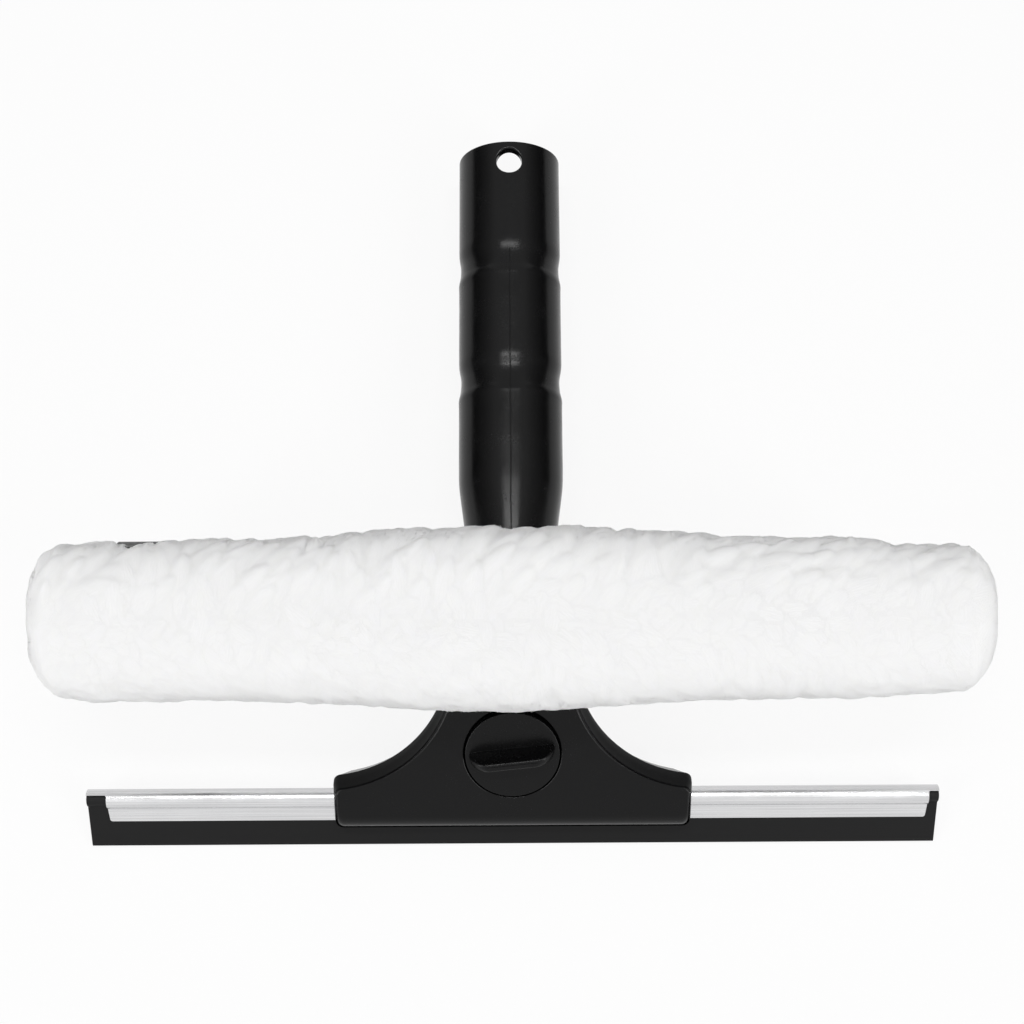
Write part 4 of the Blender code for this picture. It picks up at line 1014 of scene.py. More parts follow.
# Sleeve closure
# Black hook-and-loop webbing behind the left end: a loop patch sewn to the backing and a
# hook strap that laps over it. The strap's end shows over the sleeve's upper edge.
STRAP_THICKNESS = 1.2 * MM
STRAP_EDGE = 0.3 * MM
STRAP_RAGGED = 0.06 * MM
STRAP_STEPS = 48
STRAP_ROW = 1.35
WEAVE_DEPTH = 0.2 * MM
STRAP_END = -125
PATCH_START, PATCH_END = -68, -140


def webbing():
    """Black woven tape: staggered threads, with a fuzz that dulls them."""
    material, shader = new_material("strap_webbing", (0.03, 0.03, 0.032, 1), 0.8)
    set_inputs(shader, {"Sheen Weight": 0.4})
    weave = node(material, "ShaderNodeUVMap", uv_map="weave")
    cells = node(material, "ShaderNodeTexBrick", Scale=1, offset=0.5)
    set_inputs(cells, {"Brick Width": 0.9, "Row Height": 0.45, "Mortar Size": 0.12})
    for key, grey in (("Color1", 1), ("Color2", 0.7), ("Mortar", 0)):
        cells.inputs[key].default_value = (grey, grey, grey, 1)
    link(material, weave.outputs["UV"], cells.inputs["Vector"])
    fuzz = noise(material, 1500, 3)
    both = maths(material, "ADD", cells.outputs["Color"], fuzz)
    bump(material, shader, both, WEAVE_DEPTH)
    worn(material, shader, ramp(material, fuzz, 0.65, 0.95))
    return material


def sleeve_point(angle, offset):
    """A point round the sleeve's solid, offset out of it; 0 is its upper edge."""
    y = signed_power(math.cos(angle), 2 / SLEEVE_SQUARENESS)
    z = signed_power(math.sin(angle), 2 / SLEEVE_SQUARENESS)
    point = Vector((0, y * SLEEVE_HALF_HEIGHT, z * SLEEVE_HALF_DEPTH))
    slope_y = signed_power(y, SLEEVE_SQUARENESS - 1) / SLEEVE_HALF_HEIGHT
    slope_z = signed_power(z, SLEEVE_SQUARENESS - 1) / SLEEVE_HALF_DEPTH
    return point + Vector((0, slope_y, slope_z)).normalized() * offset


def band_mesh(name, start, end, lift):
    """A strip round the sleeve with rounded edges and a UV map in millimetres."""
    half, inner = STRAP_WIDTH / 2, STRAP_WIDTH / 2 - STRAP_EDGE
    section = (
        (-half, 0.25), (-inner, 0), (inner, 0), (half, 0.25),
        (half, 0.75), (inner, 1), (-inner, 1), (-half, 0.75),
    )
    rings = []
    for i in range(STRAP_STEPS + 1):
        angle = math.radians(start + (end - start) * i / STRAP_STEPS)
        ragged = Vector((STRAP_RAGGED * math.sin(i * 2.1) * math.sin(i * 0.7), 0, 0))
        ring = []
        for x, share in section:
            point = sleeve_point(angle, lift(angle) + STRAP_THICKNESS * share)
            ring.append(point + ragged + Vector((x, 0, 0)))
        rings.append(ring)
    bm = skin(rings)
    bm.verts.index_update()
    uv = bm.loops.layers.uv.new("weave")
    for face in bm.faces:
        if len(face.verts) == 4:
            for loop in face.loops:
                row = loop.vert.index // len(section)
                loop[uv].uv = (loop.vert.co.x / MM, row * STRAP_ROW)
    bm.transform(Matrix.Translation((STRAP_MIDDLE, 0, 0)))
    return to_mesh(bm, name)


strap_black = webbing()
for name, node_name, band in (
    ("strap", "sleeve_strap", (STRAP_START, STRAP_END, strap_lift)),
    ("loop_patch", "sleeve_loop_patch", (PATCH_START, PATCH_END, lambda angle: STRAP_LIFT)),
):
    mesh = band_mesh(name, *band)
    piece(name, mesh, "handle", [node_name], strap_black, ON_BAR)


# Head front shell
# The front half of the head, moulded in black plastic. Its flat face widens in two hollow
# flanks to the channel, its walls flare out to the parting line, and the knob sits in a bore.
CHANNEL_PLACE = 78.3 * MM
HEAD_HALF_WIDTH = 73.2 * MM
HEAD_BOTTOM = 87.4 * MM
HEAD_CORNER = 3 * MM
FLANK = (77.7 * MM, 15.2 * MM, 52.1 * MM)
FACE_FLANK = (76 * MM, 13 * MM, 54.6 * MM)
FACE_HALF_WIDTH = 70.4 * MM
FACE_BOTTOM = 79.7 * MM
FACE_HEIGHT = 12.5 * MM
FACE_DROP = 2.4 * MM
FACE_SLOPE_END, FACE_SLOPE_RUN = 56 * MM, 28 * MM
PARTING = 1 * MM
SHELL_WALL = 2.4 * MM
KNOB_PLACE = 51.6 * MM
KNOB_RADIUS = 18.9 * MM
KNOB_BORE = 19.5 * MM
SHELL_SCREWS = ((20.5 * MM, 37.5 * MM), (38.5 * MM, 62.2 * MM))
BOSS_RADIUS = 3.6 * MM
BOSS_LOW, BOSS_HIGH = 2 * MM, 8 * MM
COLLAR_WALL = 2 * MM
COLLAR_FOOT = 4.5 * MM
COLLAR_DROP = 0.3 * MM
BORE_FOOT = 3 * MM
BORE_OVERRUN = 9 * MM
# How much wider and higher each ring of the bore's mouth is, in millimetres.
BORE_FLARE = ((0, -0.6), (0.06, -0.3), (0.2, -0.12), (0.45, -0.02), (0.9, 0.1))
CHANNEL_RADIUS = 4 * MM
CHANNEL_SKIRT = 2.2 * MM
CHANNEL_PLAY = 0.3 * MM
SEAT_END = 14 * MM
SEAT_HALF_LENGTH = 80 * MM
HOLLOW_END = 69 * MM
HOLLOW_HALF_WIDTH = 56 * MM
HOLLOW_INSET = 2.6 * MM
HOLLOW_FOOT = -4 * MM
EDGE_ROUND = 1.1 * MM
EDGE_SQUARENESS = 1.45
EDGE_START_SHARE = 0.55
BAND_DROP = 6.2 * MM
LOWER_BAND_START = 74 * MM
LOWER_BAND_RUN = 6 * MM
PARTING_EASE = 0.25 * MM
LOWER_EASE = 0.3 * MM
# Heights up the flared wall, each with its share of the way in to the face.
WALL_STEPS = ((4.4 * MM, 0.06), (6.5 * MM, 0.18), (8.3 * MM, 0.36))
# How steep a face must be, and how far above the parting line, to get the painted wall shade.
WALL_STEEPNESS = 0.6
WALL_MARGIN = 0.8 * MM

# Painted shade: the steep flared walls get a darker colour and almost no reflection, a shaded copy
# of the head's plastic, with a rougher finish.
wall_shade_colour = (0.0026, 0.0026, 0.0028, 1)
wall_shade_plastic, wall_shade_bsdf = new_material("wall_shade_plastic", wall_shade_colour, 0.42, specular=0.03)
bump(wall_shade_plastic, wall_shade_bsdf, noise(wall_shade_plastic, 1500, 2), 0.015 * MM)
head_plastic = moulded_plastic("head_plastic", 0.22, 0.014 * MM)


def half_outline(share, bottom, top=HEAD_TOP, half_width=None):
    """Half the head's outline as (across, down). share 0 is its base and 1 its face."""
    across, down, radius = (a + (b - a) * share for a, b in zip(FLANK, FACE_FLANK))
    if half_width is None:
        half_width = HEAD_HALF_WIDTH + (FACE_HALF_WIDTH - HEAD_HALF_WIDTH) * share
    join = half_width - HEAD_CORNER
    shoulder = down + math.sqrt(radius**2 - (across - join) ** 2)
    corner = [(HEAD_CORNER * cosine, HEAD_CORNER * (1 - sine)) for cosine, sine in quarter(10)]
    points = [(join + out, bottom - short) for out, short in reversed(corner)]
    points += [(join + out, shoulder + short) for out, short in corner]
    start = math.asin((shoulder - down) / radius)
    stop = math.asin(max(top - down, 0) / radius)
    for i in range(1, 61):
        angle = start + (stop - start) * i / 60
        points.append((across - radius * math.cos(angle), down + radius * math.sin(angle)))
    if top < down:
        points.append((points[-1][0], top))
    return points


def face_height(down):
    """The face lies lower towards the neck."""
    return FACE_HEIGHT - FACE_DROP * smooth((FACE_SLOPE_END - down) / FACE_SLOPE_RUN)


def layered(layers):
    """A solid over whole outlines, made of mirrored halves with a height at each point."""
    bm = bmesh.new()
    rows = []
    for outline, height in layers:
        right = [(x, -y, height(y)) for x, y in outline]
        left = [(-x, y, z) for x, y, z in reversed(right)]
        rows.append([bm.verts.new(point) for point in right + left])
    bridge(bm, rows)
    count = len(rows[0])
    for row in (rows[0], rows[-1]):
        for i in range(count // 2 - 1):
            bm.faces.new((row[i], row[i + 1], row[count - 2 - i], row[count - 1 - i]))
    return face_out(bm)


def shade_the_walls(item):
    """Gives the flared walls, from above the parting line to the face, a rougher copy of the
    plastic whose darker colour and weak reflection are painted shade.
    """
    item.data.materials.append(wall_shade_plastic)
    to_head = ON_HEAD.inverted()
    for face in item.data.polygons:
        normal = to_head.to_3x3() @ face.normal
        centre = to_head @ face.center
        steep = normal.z < WALL_STEEPNESS and normal.y > -0.5
        if steep and centre.z > PARTING + WALL_MARGIN and abs(centre.x) > KNOB_BORE:
            face.material_index = 1


def level(height):
    return lambda down: height


def below_face(depth):
    return lambda down: face_height(down) - depth


def face_layers():
    """From the parting line up the flared wall, round the edge and onto the face."""
    layers = [
        (half_outline(0.08, HEAD_BOTTOM - PARTING_EASE), level(PARTING)),
        (half_outline(0, HEAD_BOTTOM), level(PARTING + PARTING_EASE)),
    ]
    for rise, share in WALL_STEPS:
        outline = half_outline(share, HEAD_BOTTOM - LOWER_EASE * share)
        layers.append((outline, below_face(FACE_HEIGHT - rise)))
    lowest = HEAD_BOTTOM - LOWER_EASE
    for cosine, sine in quarter(10):
        inset = 1 - max(cosine, 0) ** EDGE_SQUARENESS
        share = EDGE_START_SHARE + (1 - EDGE_START_SHARE) * inset
        outline = half_outline(share, lowest - (lowest - FACE_BOTTOM) * inset)
        drop = EDGE_ROUND * (1 - sine**EDGE_SQUARENESS)
        layers.append((outline, band_height(drop, inset)))
    layers.append((half_outline(1.08, FACE_BOTTOM - 2 * LOWER_EASE), below_face(0)))
    return layers


def band_height(drop, inset):
    """Under the face's edge: a tight round at the flanks, a broad one along the bottom."""

    def height(down):
        share = smooth((down - LOWER_BAND_START) / LOWER_BAND_RUN)
        broad = BAND_DROP * (1 - math.sqrt(max(1 - (1 - inset) ** 2, 0)))
        return face_height(down) - drop * (1 - share) - broad * share

    return height


def rod(radius, low, high, sides, spot):
    bm = turned(((radius, low), (radius, high)), sides, "Z", cap=True)
    bm.transform(Matrix.Translation((*spot, 0)))
    return to_mesh(bm, "rod")


def face_ring(radius, sides, higher):
    """A circle round the knob's axis that follows the face, or lies a little off it."""
    ring = [(x, y - KNOB_PLACE) for x, y in circle(radius, sides)]
    return [(x, y, face_height(-y) + higher) for x, y in ring]


def flat_ring(ring, height):
    return [(x, y, height) for x, y, _ in ring]


def knob_collar():
    """A wall round the bore, behind the face, whose top follows the face."""
    top = face_ring(KNOB_BORE + COLLAR_WALL, 96, -COLLAR_DROP)
    return to_mesh(skin([flat_ring(top, COLLAR_FOOT), top]), "knob_collar")


def knob_bore_tool():
    """The knob's bore, whose mouth is eased where it meets the face."""
    rings = [face_ring(KNOB_BORE + wider * MM, 128, higher * MM) for wider, higher in BORE_FLARE]
    beyond = [(x, y, z + BORE_OVERRUN) for x, y, z in rings[-1]]
    return to_mesh(skin([flat_ring(rings[0], BORE_FOOT), *rings, beyond]), "knob_bore")


def keyhole(radius, half_width, end, steps=40):
    """A round back on a straight skirt, as (up, forward) from the round's middle."""
    start = math.asin(half_width / radius)
    points = [(-end, half_width)]
    for i in range(steps + 1):
        angle = start + (2 * math.pi - 2 * start) * i / steps
        points.append((-radius * math.cos(angle), radius * math.sin(angle)))
    points.append((-end, -half_width))
    return points


def channel_seat():
    section = keyhole(CHANNEL_RADIUS + CHANNEL_PLAY, CHANNEL_SKIRT + CHANNEL_PLAY, SEAT_END)
    bm = along_x(section, -SEAT_HALF_LENGTH, SEAT_HALF_LENGTH)
    bm.transform(Matrix.Translation((0, -CHANNEL_PLACE, 0)))
    return to_mesh(bm, "channel_seat")


def front_shell():
    """The shell's outside, hollowed, with its bosses, the knob's bore and the blade's seat."""
    item = loose("front_shell", layered(face_layers()))
    inner = half_outline(1.0, HOLLOW_END, HEAD_TOP + SHELL_WALL, HOLLOW_HALF_WIDTH)
    inner = [(max(x - HOLLOW_INSET, MM), y) for x, y in inner]
    hollow = layered([(inner, level(HOLLOW_FOOT)), (inner, below_face(SHELL_WALL))])
    cut(item, to_mesh(hollow, "hollow"))
    for side in (-1, 1):
        for across, down in SHELL_SCREWS:
            boss = rod(BOSS_RADIUS, BOSS_LOW, BOSS_HIGH, 40, (side * across, -down))
            cut(item, boss, "UNION")
    cut(item, knob_collar(), "UNION")
    cut(item, knob_bore_tool())
    cut(item, channel_seat())
    return edited(taken(item), fill_slivers)


def fill_slivers(bm):
    """Closes the narrow gaps that the cuts leave."""
    gaps = [edge for edge in bm.edges if edge.is_boundary]
    bmesh.ops.holes_fill(bm, edges=gaps, sides=4)


front = piece(
    "front_shell", front_shell(), "handle", ["head_front_shell"],
    head_plastic, ON_HEAD,
)
shade_the_walls(front)


# Head rear shell
# The back half of the head, drawn in towards its flat back and screwed to the front half
# and to the elbow's tongue. It has the deep wells of the screws and the knob's washer.
MERGE_DISTANCE = 0.01 * MM
FLAT = math.radians(0.5)


def merge_seams(bm):
    """Joins a solid's loose triangles and dissolves the lines across its flat faces."""
    bmesh.ops.remove_doubles(bm, verts=bm.verts, dist=MERGE_DISTANCE)
    bmesh.ops.dissolve_limit(bm, angle_limit=FLAT, verts=bm.verts, edges=bm.edges)


def smoothed(name, cad_node, body, material):
    """A copy of a solid with its seams merged and its round faces shaded smooth."""
    mesh = edited(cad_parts[cad_node].data.copy(), merge_seams)
    return piece(name, mesh, body, [cad_node], material)


smoothed("rear_shell", "head_rear_shell", "handle", head_plastic)


# Lock knob
# A quarter-turn knob of black plastic: a disc set in the head with a tall finger bar, on
# a shaft with a cam, held from behind by a washer and a screw.
KNOB_FRONT = 12.8 * MM
KNOB_TURN = math.radians(6.5)
FINGER_HEIGHT = 9 * MM
FINGER_HALF_LENGTH = 17.2 * MM
FINGER_HALF_WIDTH = 2.7 * MM
FINGER_EASE = 0.8 * MM
POLE_RADIUS = 0.02 * MM
SHAFT_RADIUS, SHAFT_END = 4 * MM, -5.3 * MM
HUB_RADIUS, HUB_BACK = 8 * MM, 4 * MM
DISC_BACK = 9.6 * MM
DISC_ROUND = 0.45 * MM
CAM_LOW, CAM_LIFT = 9.8 * MM, 1.2 * MM
CAM_BACK, CAM_FRONT = 1.6 * MM, 6.4 * MM
# The height, half length and half width of each ring of the finger bar.
FINGER_SHARES = (
    (-0.08, 1.01, 1.2), (0.0, 1.01, 1.2), (0.03, 1, 1.1), (0.09, 0.998, 1.04),
    (0.25, 0.99, 0.98), (0.45, 0.96, 0.9), (0.62, 0.915, 0.83), (0.76, 0.85, 0.77),
    (0.86, 0.79, 0.72), (0.93, 0.725, 0.65), (0.975, 0.66, 0.53), (1.0, 0.59, 0.34),
)

knob_plastic = moulded_plastic("knob_plastic", 0.26, 0.012 * MM)


def knob_mesh():
    """Shaft, hub and disc as one turned profile, with the finger bar and the cam joined on."""
    profile = [(POLE_RADIUS, SHAFT_END), (SHAFT_RADIUS, SHAFT_END), (SHAFT_RADIUS, HUB_BACK)]
    profile += [(HUB_RADIUS, HUB_BACK), (HUB_RADIUS, DISC_BACK), (KNOB_RADIUS, DISC_BACK)]
    profile += [
        (KNOB_RADIUS - DISC_ROUND * (1 - cosine), KNOB_FRONT - DISC_ROUND * (1 - sine))
        for cosine, sine in quarter(6)
    ]
    profile.append((POLE_RADIUS, KNOB_FRONT))
    item = loose("knob", turned(profile, 128, "Z", cap=True))
    cut(item, to_mesh(finger_bar(), "finger_bar"), "UNION")
    cut(item, to_mesh(along_z(cam_outline(), CAM_BACK, CAM_FRONT), "cam"), "UNION")
    return taken(item)


def along_z(outline, low, high):
    """An outline of (x, y) points run along Z."""
    return skin([[(x, y, z) for x, y in outline] for z in (low, high)])


def cam_outline():
    """The cam's reach falls evenly over the first quarter and rises over the third."""
    points = []
    for i in range(72):
        angle = 2 * math.pi * (i + 0.5) / 72
        quarters = angle / (math.pi / 2)
        reach = CAM_LOW + CAM_LIFT * max(1 - quarters, min(quarters - 2, 1), 0)
        points.append((reach * math.cos(angle), reach * math.sin(angle)))
    return points


def finger_bar():
    """A tall ridge with a straight upper side, round lower corners and a broad crest."""
    rings = []
    for tall, long, wide in FINGER_SHARES:
        half_length, half_width = FINGER_HALF_LENGTH * long, FINGER_HALF_WIDTH * wide
        upper, lower = min(FINGER_EASE, half_width * 0.6), half_width * 1.7
        ring = []
        for corner, radius in enumerate((upper, upper, lower, lower)):
            middle_x = half_length - radius if corner in (0, 3) else radius - half_length
            middle_y = half_width - radius if corner < 2 else radius - half_width
            for i in range(13):
                angle = math.pi / 2 * (corner + i / 12)
                x = middle_x + radius * math.cos(angle)
                y = middle_y + radius * math.sin(angle)
                ring.append((x, y, KNOB_FRONT + FINGER_HEIGHT * tall))
        rings.append(ring)
    bm = skin(rings)
    bm.transform(Matrix.Rotation(KNOB_TURN, 4, "Z"))
    return bm


ON_KNOB = ON_HEAD @ Matrix.Translation((0, -KNOB_PLACE, 0))
piece("knob", knob_mesh(), "knob", ["lock_knob"], knob_plastic, ON_KNOB)


# Clamp jaw and washer
# Inside the head, the knob's cam turns in the jaw's window and presses its long foot on
# the channel. A plain steel washer lies under the knob's screw.
def zinc():
    """Zinc plating, a little uneven in its shine."""
    material, shader = new_material("zinc_plate", (0.55, 0.55, 0.57, 1), 0.34, 1)
    worn(material, shader, ramp(material, noise(material, 600, 4), 0.26, 0.46))
    bump(material, shader, noise(material, 2200, 2), 0.01 * MM)
    return material


zinc_plate = zinc()
smoothed("jaw", "clamp_jaw", "jaw", body_plastic)
smoothed("washer", "knob_washer", "knob", zinc_plate)


# Channel
# Stainless sheet rolled round the rubber's bead and folded down on both faces of the blade.
# Its front wall is cut back at both ends, so that the rubber and the rear wall show.
BLADE_HALF = 175 * MM
SHEET = 0.7 * MM
SKIRT_END = 9.3 * MM
NOTCHES = (("left", -1, 8.4 * MM), ("right", 1, 4.4 * MM))
NOTCH_TOP = 3.1 * MM
NOTCH_CORNER = 2.5 * MM
NOTCH_EASE = (0.18 * MM, 2.92 * MM)
NOTCH_BEND = -2.9 * MM
NOTCH_SLANT = 0.5 * MM
NOTCH_ROUND = 1.1 * MM
NOTCH_END, NOTCH_FRONT, NOTCH_OVERRUN = -14 * MM, 8 * MM, 4 * MM


def rolled_metal():
    """Bright sheet with fine draw lines along its length and soft handling marks."""
    material, shader = new_material("rolled_steel", (0.66, 0.66, 0.67, 1), 0.24, 1)
    streaks = noise(material, 1, 4, (12, 2600, 2600))
    marks = ramp(material, noise(material, 60, 3), 0, 0.1)
    worn(material, shader, marks, ramp(material, streaks, 0.14, 0.28))
    bump(material, shader, streaks, 0.012 * MM)
    shaded(material, shader, streaks, (0.56, 0.56, 0.57, 1), (0.74, 0.74, 0.745, 1))
    return material


def channel_mesh():
    outer = keyhole(CHANNEL_RADIUS, CHANNEL_SKIRT, SKIRT_END, 56)
    inner = keyhole(CHANNEL_RADIUS - SHEET, CHANNEL_SKIRT - SHEET, SKIRT_END, 56)
    item = loose("channel", along_x(eased(outer) + inner[::-1], -BLADE_HALF, BLADE_HALF))
    for name, side, depth in NOTCHES:
        cut(item, notch(name, side, depth))
    return taken(item)


def eased(points):
    """The skirt with more points towards the round back, so that it is shaded flat."""
    first, start = points[:2]
    head = [first]
    for share in (0.55, 0.8, 0.93):
        head.append((first[0] + (start[0] - first[0]) * share, first[1]))
    tail = [(x, -z) for x, z in reversed(head)]
    return head + points[1:-1] + tail


def notch(name, side, depth):
    """What is cut from the front wall at one end: straight down, then slanted in."""
    edge, beyond = BLADE_HALF - depth, BLADE_HALF + NOTCH_OVERRUN
    corner = edge - NOTCH_SLANT - NOTCH_ROUND
    ease, height = NOTCH_EASE
    outline = [(beyond, NOTCH_TOP), (edge + NOTCH_TOP - NOTCH_CORNER, NOTCH_TOP)]
    outline += [(edge + ease, height), (edge, NOTCH_CORNER), (edge, NOTCH_BEND)]
    outline += [
        (corner + NOTCH_ROUND * cosine, NOTCH_ROUND - SKIRT_END - NOTCH_ROUND * sine)
        for cosine, sine in quarter(6)
    ]
    outline += [(corner, NOTCH_END), (beyond, NOTCH_END)]
    outline = [(side * x, y) for x, y in outline]
    return to_mesh(along_z(outline, 0, NOTCH_FRONT), f"notch_{name}")


ON_BLADE = ON_HEAD @ Matrix.Translation((0, -CHANNEL_PLACE, 0))
steel = rolled_metal()
piece("channel", channel_mesh(), "blade", ["blade_channel"], steel, ON_BLADE)


# Rubber
# Black rubber with a round bead in the channel and a thin square-cut blade. It is a little
# matt from the mould, with fine lines along its length.
RUBBER_EASE = 0.15 * MM
BEAD_PLAY = 0.3 * MM
# How much of its height and thickness the section keeps at both ends of the rubber.
RUBBER_END_SHARES = (0.985, 0.875)


def blade_rubber():
    material, shader = new_material("blade_rubber", (0.007, 0.007, 0.0072, 1), 0.5, specular=0.16)
    lines = noise(material, 1, 3, (30, 1900, 1900))
    bloom = ramp(material, noise(material, 140, 4), -0.05, 0.08)
    worn(material, shader, bloom, ramp(material, lines, 0.42, 0.54))
    bump(material, shader, lines, 0.02 * MM)
    return material


def rubber_mesh():
    """The bead and blade run along X, with every edge of the blade and its ends eased."""
    ease, end = RUBBER_EASE, HEAD_LENGTH - CHANNEL_PLACE
    bead = keyhole(CHANNEL_RADIUS - SHEET - BEAD_PLAY, RUBBER_HALF, end)[1:-1]
    section = [(-end, RUBBER_HALF - ease), (ease - end, RUBBER_HALF), *bead]
    section += [(ease - end, -RUBBER_HALF), (-end, ease - RUBBER_HALF)]
    tall, thick = RUBBER_END_SHARES
    drawn_in = [(y * tall, z * thick) for y, z in section]
    inner = BLADE_HALF - ease
    rings = [
        [(x, y, z) for y, z in ring]
        for x, ring in (
            (-BLADE_HALF, drawn_in), (-inner, section), (inner, section), (BLADE_HALF, drawn_in)
        )
    ]
    return to_mesh(skin(rings), "rubber")


rubber = blade_rubber()
piece("rubber", rubber_mesh(), "blade", ["rubber_blade"], rubber, ON_BLADE)


# Screws
# Zinc-plated pan-head screws with a cross recess, all put in from behind or from inside the
# bar. One shape is set at each seat, as a mesh for each body that they fasten.
SCREW_HEAD = (3.1 * MM, 1.7 * MM)
SCREW_RIM = 0.5 * MM
SCREW_EASE = 0.15 * MM
SCREW_SHANK = 1.5 * MM
SCREW_LENGTH = 10 * MM
SCREW_TIP = (0.6 * MM, 1.2 * MM)
THREAD_START = 8.6 * MM
THREAD_PITCH = 0.5 * MM
THREAD_DEPTH = 0.22 * MM
CROSS_SIZE = (3.2 * MM, 0.8 * MM, 2 * MM)
HANDLE_SEAT = -16.5 * MM
BAR_SEAT = -2.7 * MM
BAR_SCREW = 10.5 * MM
HEAD_SEAT = -7 * MM
KNOB_SEAT = -6.9 * MM
NECK_SCREW = (10.5 * MM, 24.02 * MM)


def screw_object():
    """A screw with its seat at the origin and its shank along +Z."""
    radius, height = SCREW_HEAD
    tip_radius, tip_length = SCREW_TIP
    profile = [(POLE_RADIUS, SCREW_LENGTH), (tip_radius, SCREW_LENGTH)]
    profile.append((SCREW_SHANK, SCREW_LENGTH - tip_length))
    for turn in range(16):
        place = THREAD_START - turn * THREAD_PITCH
        profile.append((SCREW_SHANK, place))
        profile.append((SCREW_SHANK - THREAD_DEPTH, place - THREAD_PITCH / 2))
    profile += [(SCREW_SHANK, 0), (radius - SCREW_EASE, 0), (radius, -SCREW_EASE)]
    for cosine, sine in quarter(6)[1:]:
        place = -SCREW_RIM - (height - SCREW_RIM) * sine
        profile.append((radius * (0.35 + 0.65 * cosine), place))
    profile.append((POLE_RADIUS, -height))
    item = loose("screw", turned(profile, 32, "Z", cap=True))
    for turn in (0, math.pi / 2):
        bm = bmesh.new()
        size = Matrix.Diagonal((*CROSS_SIZE, 1))
        place = Matrix.Rotation(turn, 4, "Z") @ Matrix.Translation((0, 0, -height))
        bmesh.ops.create_cube(bm, size=1, matrix=place @ size)
        cut(item, to_mesh(bm, "cross"))
    item.data.shade_smooth()
    item.data.set_sharp_from_angle(angle=SHARP)
    return item


def set_screws(name, seats, nodes, body):
    """Screws at seats of (place, direction of the shank, turn), as one piece of a body."""
    points = bpy.data.meshes.new("seats")
    points.from_pydata([place for place, aim, turn in seats], [], [])
    store(points, "shank", "FLOAT_VECTOR", "vector", [aim for place, aim, turn in seats])
    store(points, "turn", "FLOAT", "value", [turn for place, aim, turn in seats])
    screw = screw_object()
    tree = Tree(name, (("Screw", "Object", screw), ("Finish", "Material", zinc_plate)))
    aim = tree.named("shank")
    along = tree.add("FunctionNodeAlignRotationToVector", axis="Z", Vector=aim)
    spin = tree.add(
        "FunctionNodeAxisAngleToRotation",
        Axis=(0.0, 0.0, 1.0),
        Angle=tree.named("turn", "FLOAT"),
    )
    both = tree.add("FunctionNodeRotateRotation", rotation_space="LOCAL")
    tree.feed(both.inputs[0], along.outputs["Rotation"])
    tree.feed(both.inputs[1], spin.outputs["Rotation"])
    tree.plant("Screw", tree.inputs["Geometry"], Rotation=both.outputs[0])
    mesh = tree.run(placed("seats", points), name)
    mesh.materials.clear()
    mesh.materials.append(zinc_plate)
    mesh.polygons.foreach_set("material_index", [0] * len(mesh.polygons))
    bpy.data.objects.remove(screw)
    return piece(name, mesh, body, nodes)


def seat(place, spot, direction, turn):
    aim = place.to_3x3() @ Vector(direction)
    return (place @ Vector(spot), aim, turn)


forward, backward = (0, 0, 1), (0, 0, -1)
upper, lower = SHELL_SCREWS
body_seats = [
    seat(ON_HANDLE, (0, HANDLE_SCREWS[0], HANDLE_SEAT), forward, 0.4),
    seat(ON_HANDLE, (0, HANDLE_SCREWS[1], HANDLE_SEAT), forward, 1.1),
    seat(ON_BAR, (-BAR_SCREW, 0, BAR_SEAT), backward, 0.2),
    seat(ON_BAR, (BAR_SCREW, 0, BAR_SEAT), backward, 0.9),
]
body_nodes = ["handle_screw_1", "handle_screw_2", "bar_screw_left", "bar_screw_right"]
rows = {"shell_screw_upper": upper, "shell_screw_lower": lower, "neck_screw": NECK_SCREW}
for side, name in ((-1, "left"), (1, "right")):
    for row, (across, down) in rows.items():
        spot = (side * across, -down, HEAD_SEAT)
        body_seats.append(seat(ON_HEAD, spot, forward, side * across / MM))
        body_nodes.append(f"{row}_{name}")
set_screws("body_screws", body_seats, body_nodes, "handle")
knob_seat = seat(ON_KNOB, (0, 0, KNOB_SEAT), forward, 0.5)
set_screws("knob_fixing", [knob_seat], ["knob_screw"], "knob")


# Table, light and camera
# A plain white table in an even white room. A long soft lamp hangs above the grip and one
# at each side past the blade. A screen stands beside the grip on each side, dark below and
# white above, and draws the round plastic's dark flanks.
TABLE_HALF = 4
TABLE_GAP = 0.2 * MM
TABLE_GLOW = 0.88
ROOM_LIGHT = 0.22
SCREEN_PLACE = 0.45
SCREEN_RUN = (0.04, 0.6)
SCREEN_HEIGHT = 0.66
SCREEN_DARK = (0.1, 0.62)
SCREEN_GLOW = 0.9
LAMP_TARGET = (0, -0.03, 0.04)
LAMP_OVER = ((0, 0.3, 1.25), (0.8, 0.11), 6.2, (1, 0, 0))
LAMP_LEFT = ((-0.8, -0.48, 0.65), (1, 0.18), 4.4, (0.45, 0.57, 0.8))
LAMP_RIGHT = ((0.8, -0.48, 0.65), (1, 0.18), 4.4, (-0.45, 0.57, 0.8))
CAMERA_HEIGHT = 0.638
CAMERA_SHIFT = -0.02
CAMERA_TILT = math.radians(6.19)
CAMERA_ROLL = math.radians(-0.33)
FOCAL_SHARE = 1500 / 1024
SENSOR_WIDTH = 36


def seen_directly(owner):
    """1 for rays from the camera, off a gloss or through a clear piece, and 0 for others."""
    rays = node(owner, "ShaderNodeLightPath").outputs
    seen = maths(owner, "MAXIMUM", rays["Is Camera Ray"], rays["Is Glossy Ray"])
    return maths(owner, "MAXIMUM", seen, rays["Is Transmission Ray"])


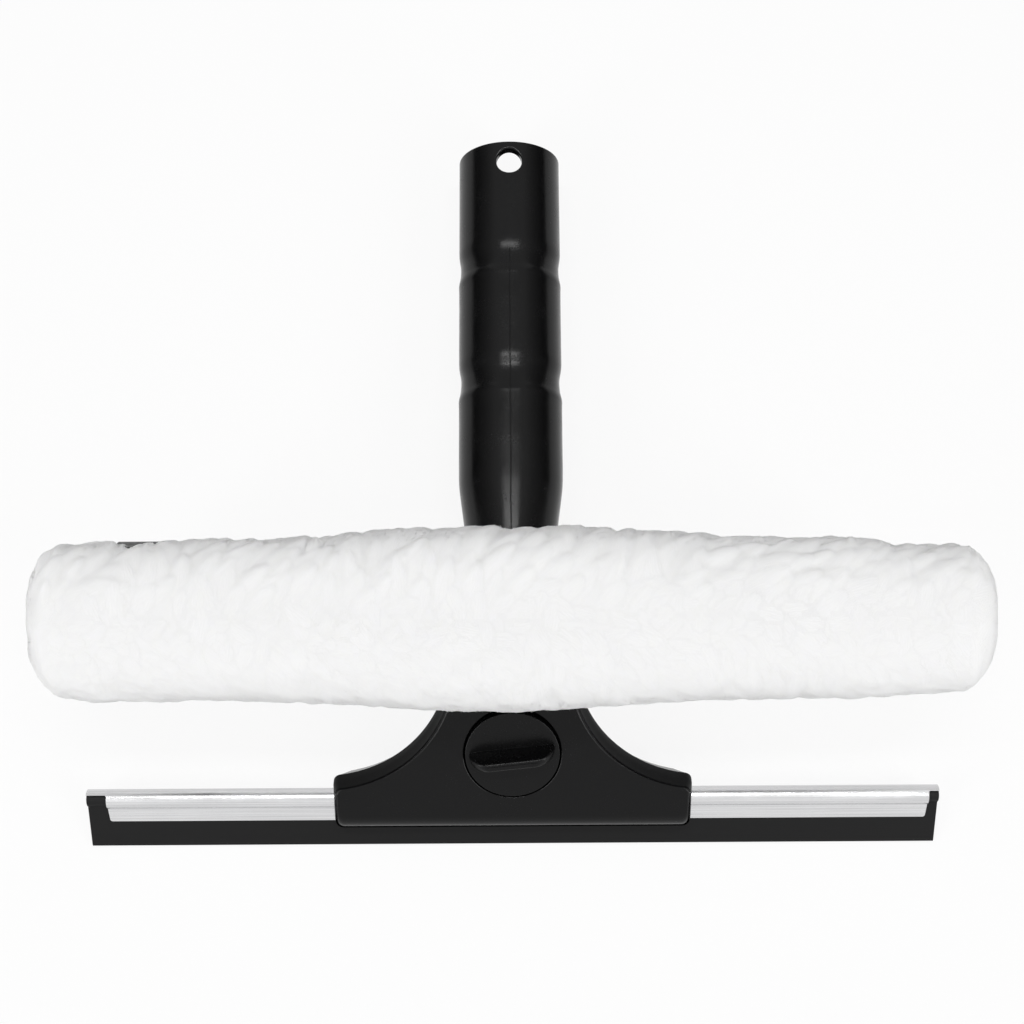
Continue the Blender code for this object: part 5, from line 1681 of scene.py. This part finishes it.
def table():
    bm = bmesh.new()
    bmesh.ops.create_grid(bm, x_segments=1, y_segments=1, size=TABLE_HALF)
    floor = placed("table", to_mesh(bm, "table"))
    floor.location.z = -TABLE_GAP
    material, shader = new_material("table_white", (0.9, 0.9, 0.9, 1), 0.9, specular=0)
    lit = node(material, "ShaderNodeEmission", Strength=1)
    mix = node(material, "ShaderNodeMixShader")
    glow = maths(material, "MULTIPLY", seen_directly(material), TABLE_GLOW)
    for i, output in enumerate((glow, shader.outputs[0], lit.outputs[0])):
        link(material, output, mix.inputs[i])
    out = material.node_tree.nodes["Material Output"]
    link(material, mix.outputs[0], out.inputs["Surface"])
    floor.data.materials.append(material)


def side_screen(name, side):
    """A screen beside the grip, dark below and white above, unseen by any camera."""
    near, far = SCREEN_RUN
    bm = bmesh.new()
    corners = ((near, 0), (far, 0), (far, SCREEN_HEIGHT), (near, SCREEN_HEIGHT))
    bm.faces.new([bm.verts.new((side * SCREEN_PLACE, y, z)) for y, z in corners])
    screen = placed(name, to_mesh(bm, name))
    screen.visible_camera = False
    material, shader = new_material(name, (0.02, 0.02, 0.02, 1), 1, specular=0)
    set_inputs(shader, {"Emission Color": (1, 1, 1, 1)})
    glow = ramp(material, own_place(material)["Z"], 0, SCREEN_GLOW, *SCREEN_DARK)
    link(material, glow, shader.inputs["Emission Strength"])
    screen.data.materials.append(material)


def surroundings():
    world = bpy.data.worlds.new("studio")
    bpy.context.scene.world = world
    world.use_nodes = True
    background = world.node_tree.nodes["Background"]
    background.inputs["Color"].default_value = (1, 1, 1, 1)
    strength = ramp(world, seen_directly(world), ROOM_LIGHT, 1, 0, 1)
    link(world, strength, background.inputs["Strength"])


def soft_light(name, place, size, power, along):
    """A long lamp that faces its target, with its length run along a direction."""
    data = bpy.data.lights.new(name, "AREA")
    data.shape = "RECTANGLE"
    data.size, data.size_y = size
    data.energy = power
    back = (Vector(place) - Vector(LAMP_TARGET)).normalized()
    side = back.cross(Vector(along)).normalized()
    turn = Matrix((side.cross(back), side, back)).transposed()
    placed(name, data).matrix_world = Matrix.Translation(place) @ turn.to_4x4()


table()
side_screen("screen_left", -1)
side_screen("screen_right", 1)
surroundings()
soft_light("light_over", *LAMP_OVER)
soft_light("light_left", *LAMP_LEFT)
soft_light("light_right", *LAMP_RIGHT)

camera = placed("camera", bpy.data.cameras.new("camera"))
camera.data.sensor_width = SENSOR_WIDTH
camera.data.lens = FOCAL_SHARE * SENSOR_WIDTH
camera.location = (0, elbow.y + CAMERA_SHIFT, CAMERA_HEIGHT)
camera.rotation_euler = (CAMERA_TILT, 0, CAMERA_ROLL)
camera.data.clip_start = 0.01
bpy.context.scene.camera = camera
bpy.context.scene.view_settings.view_transform = "Standard"
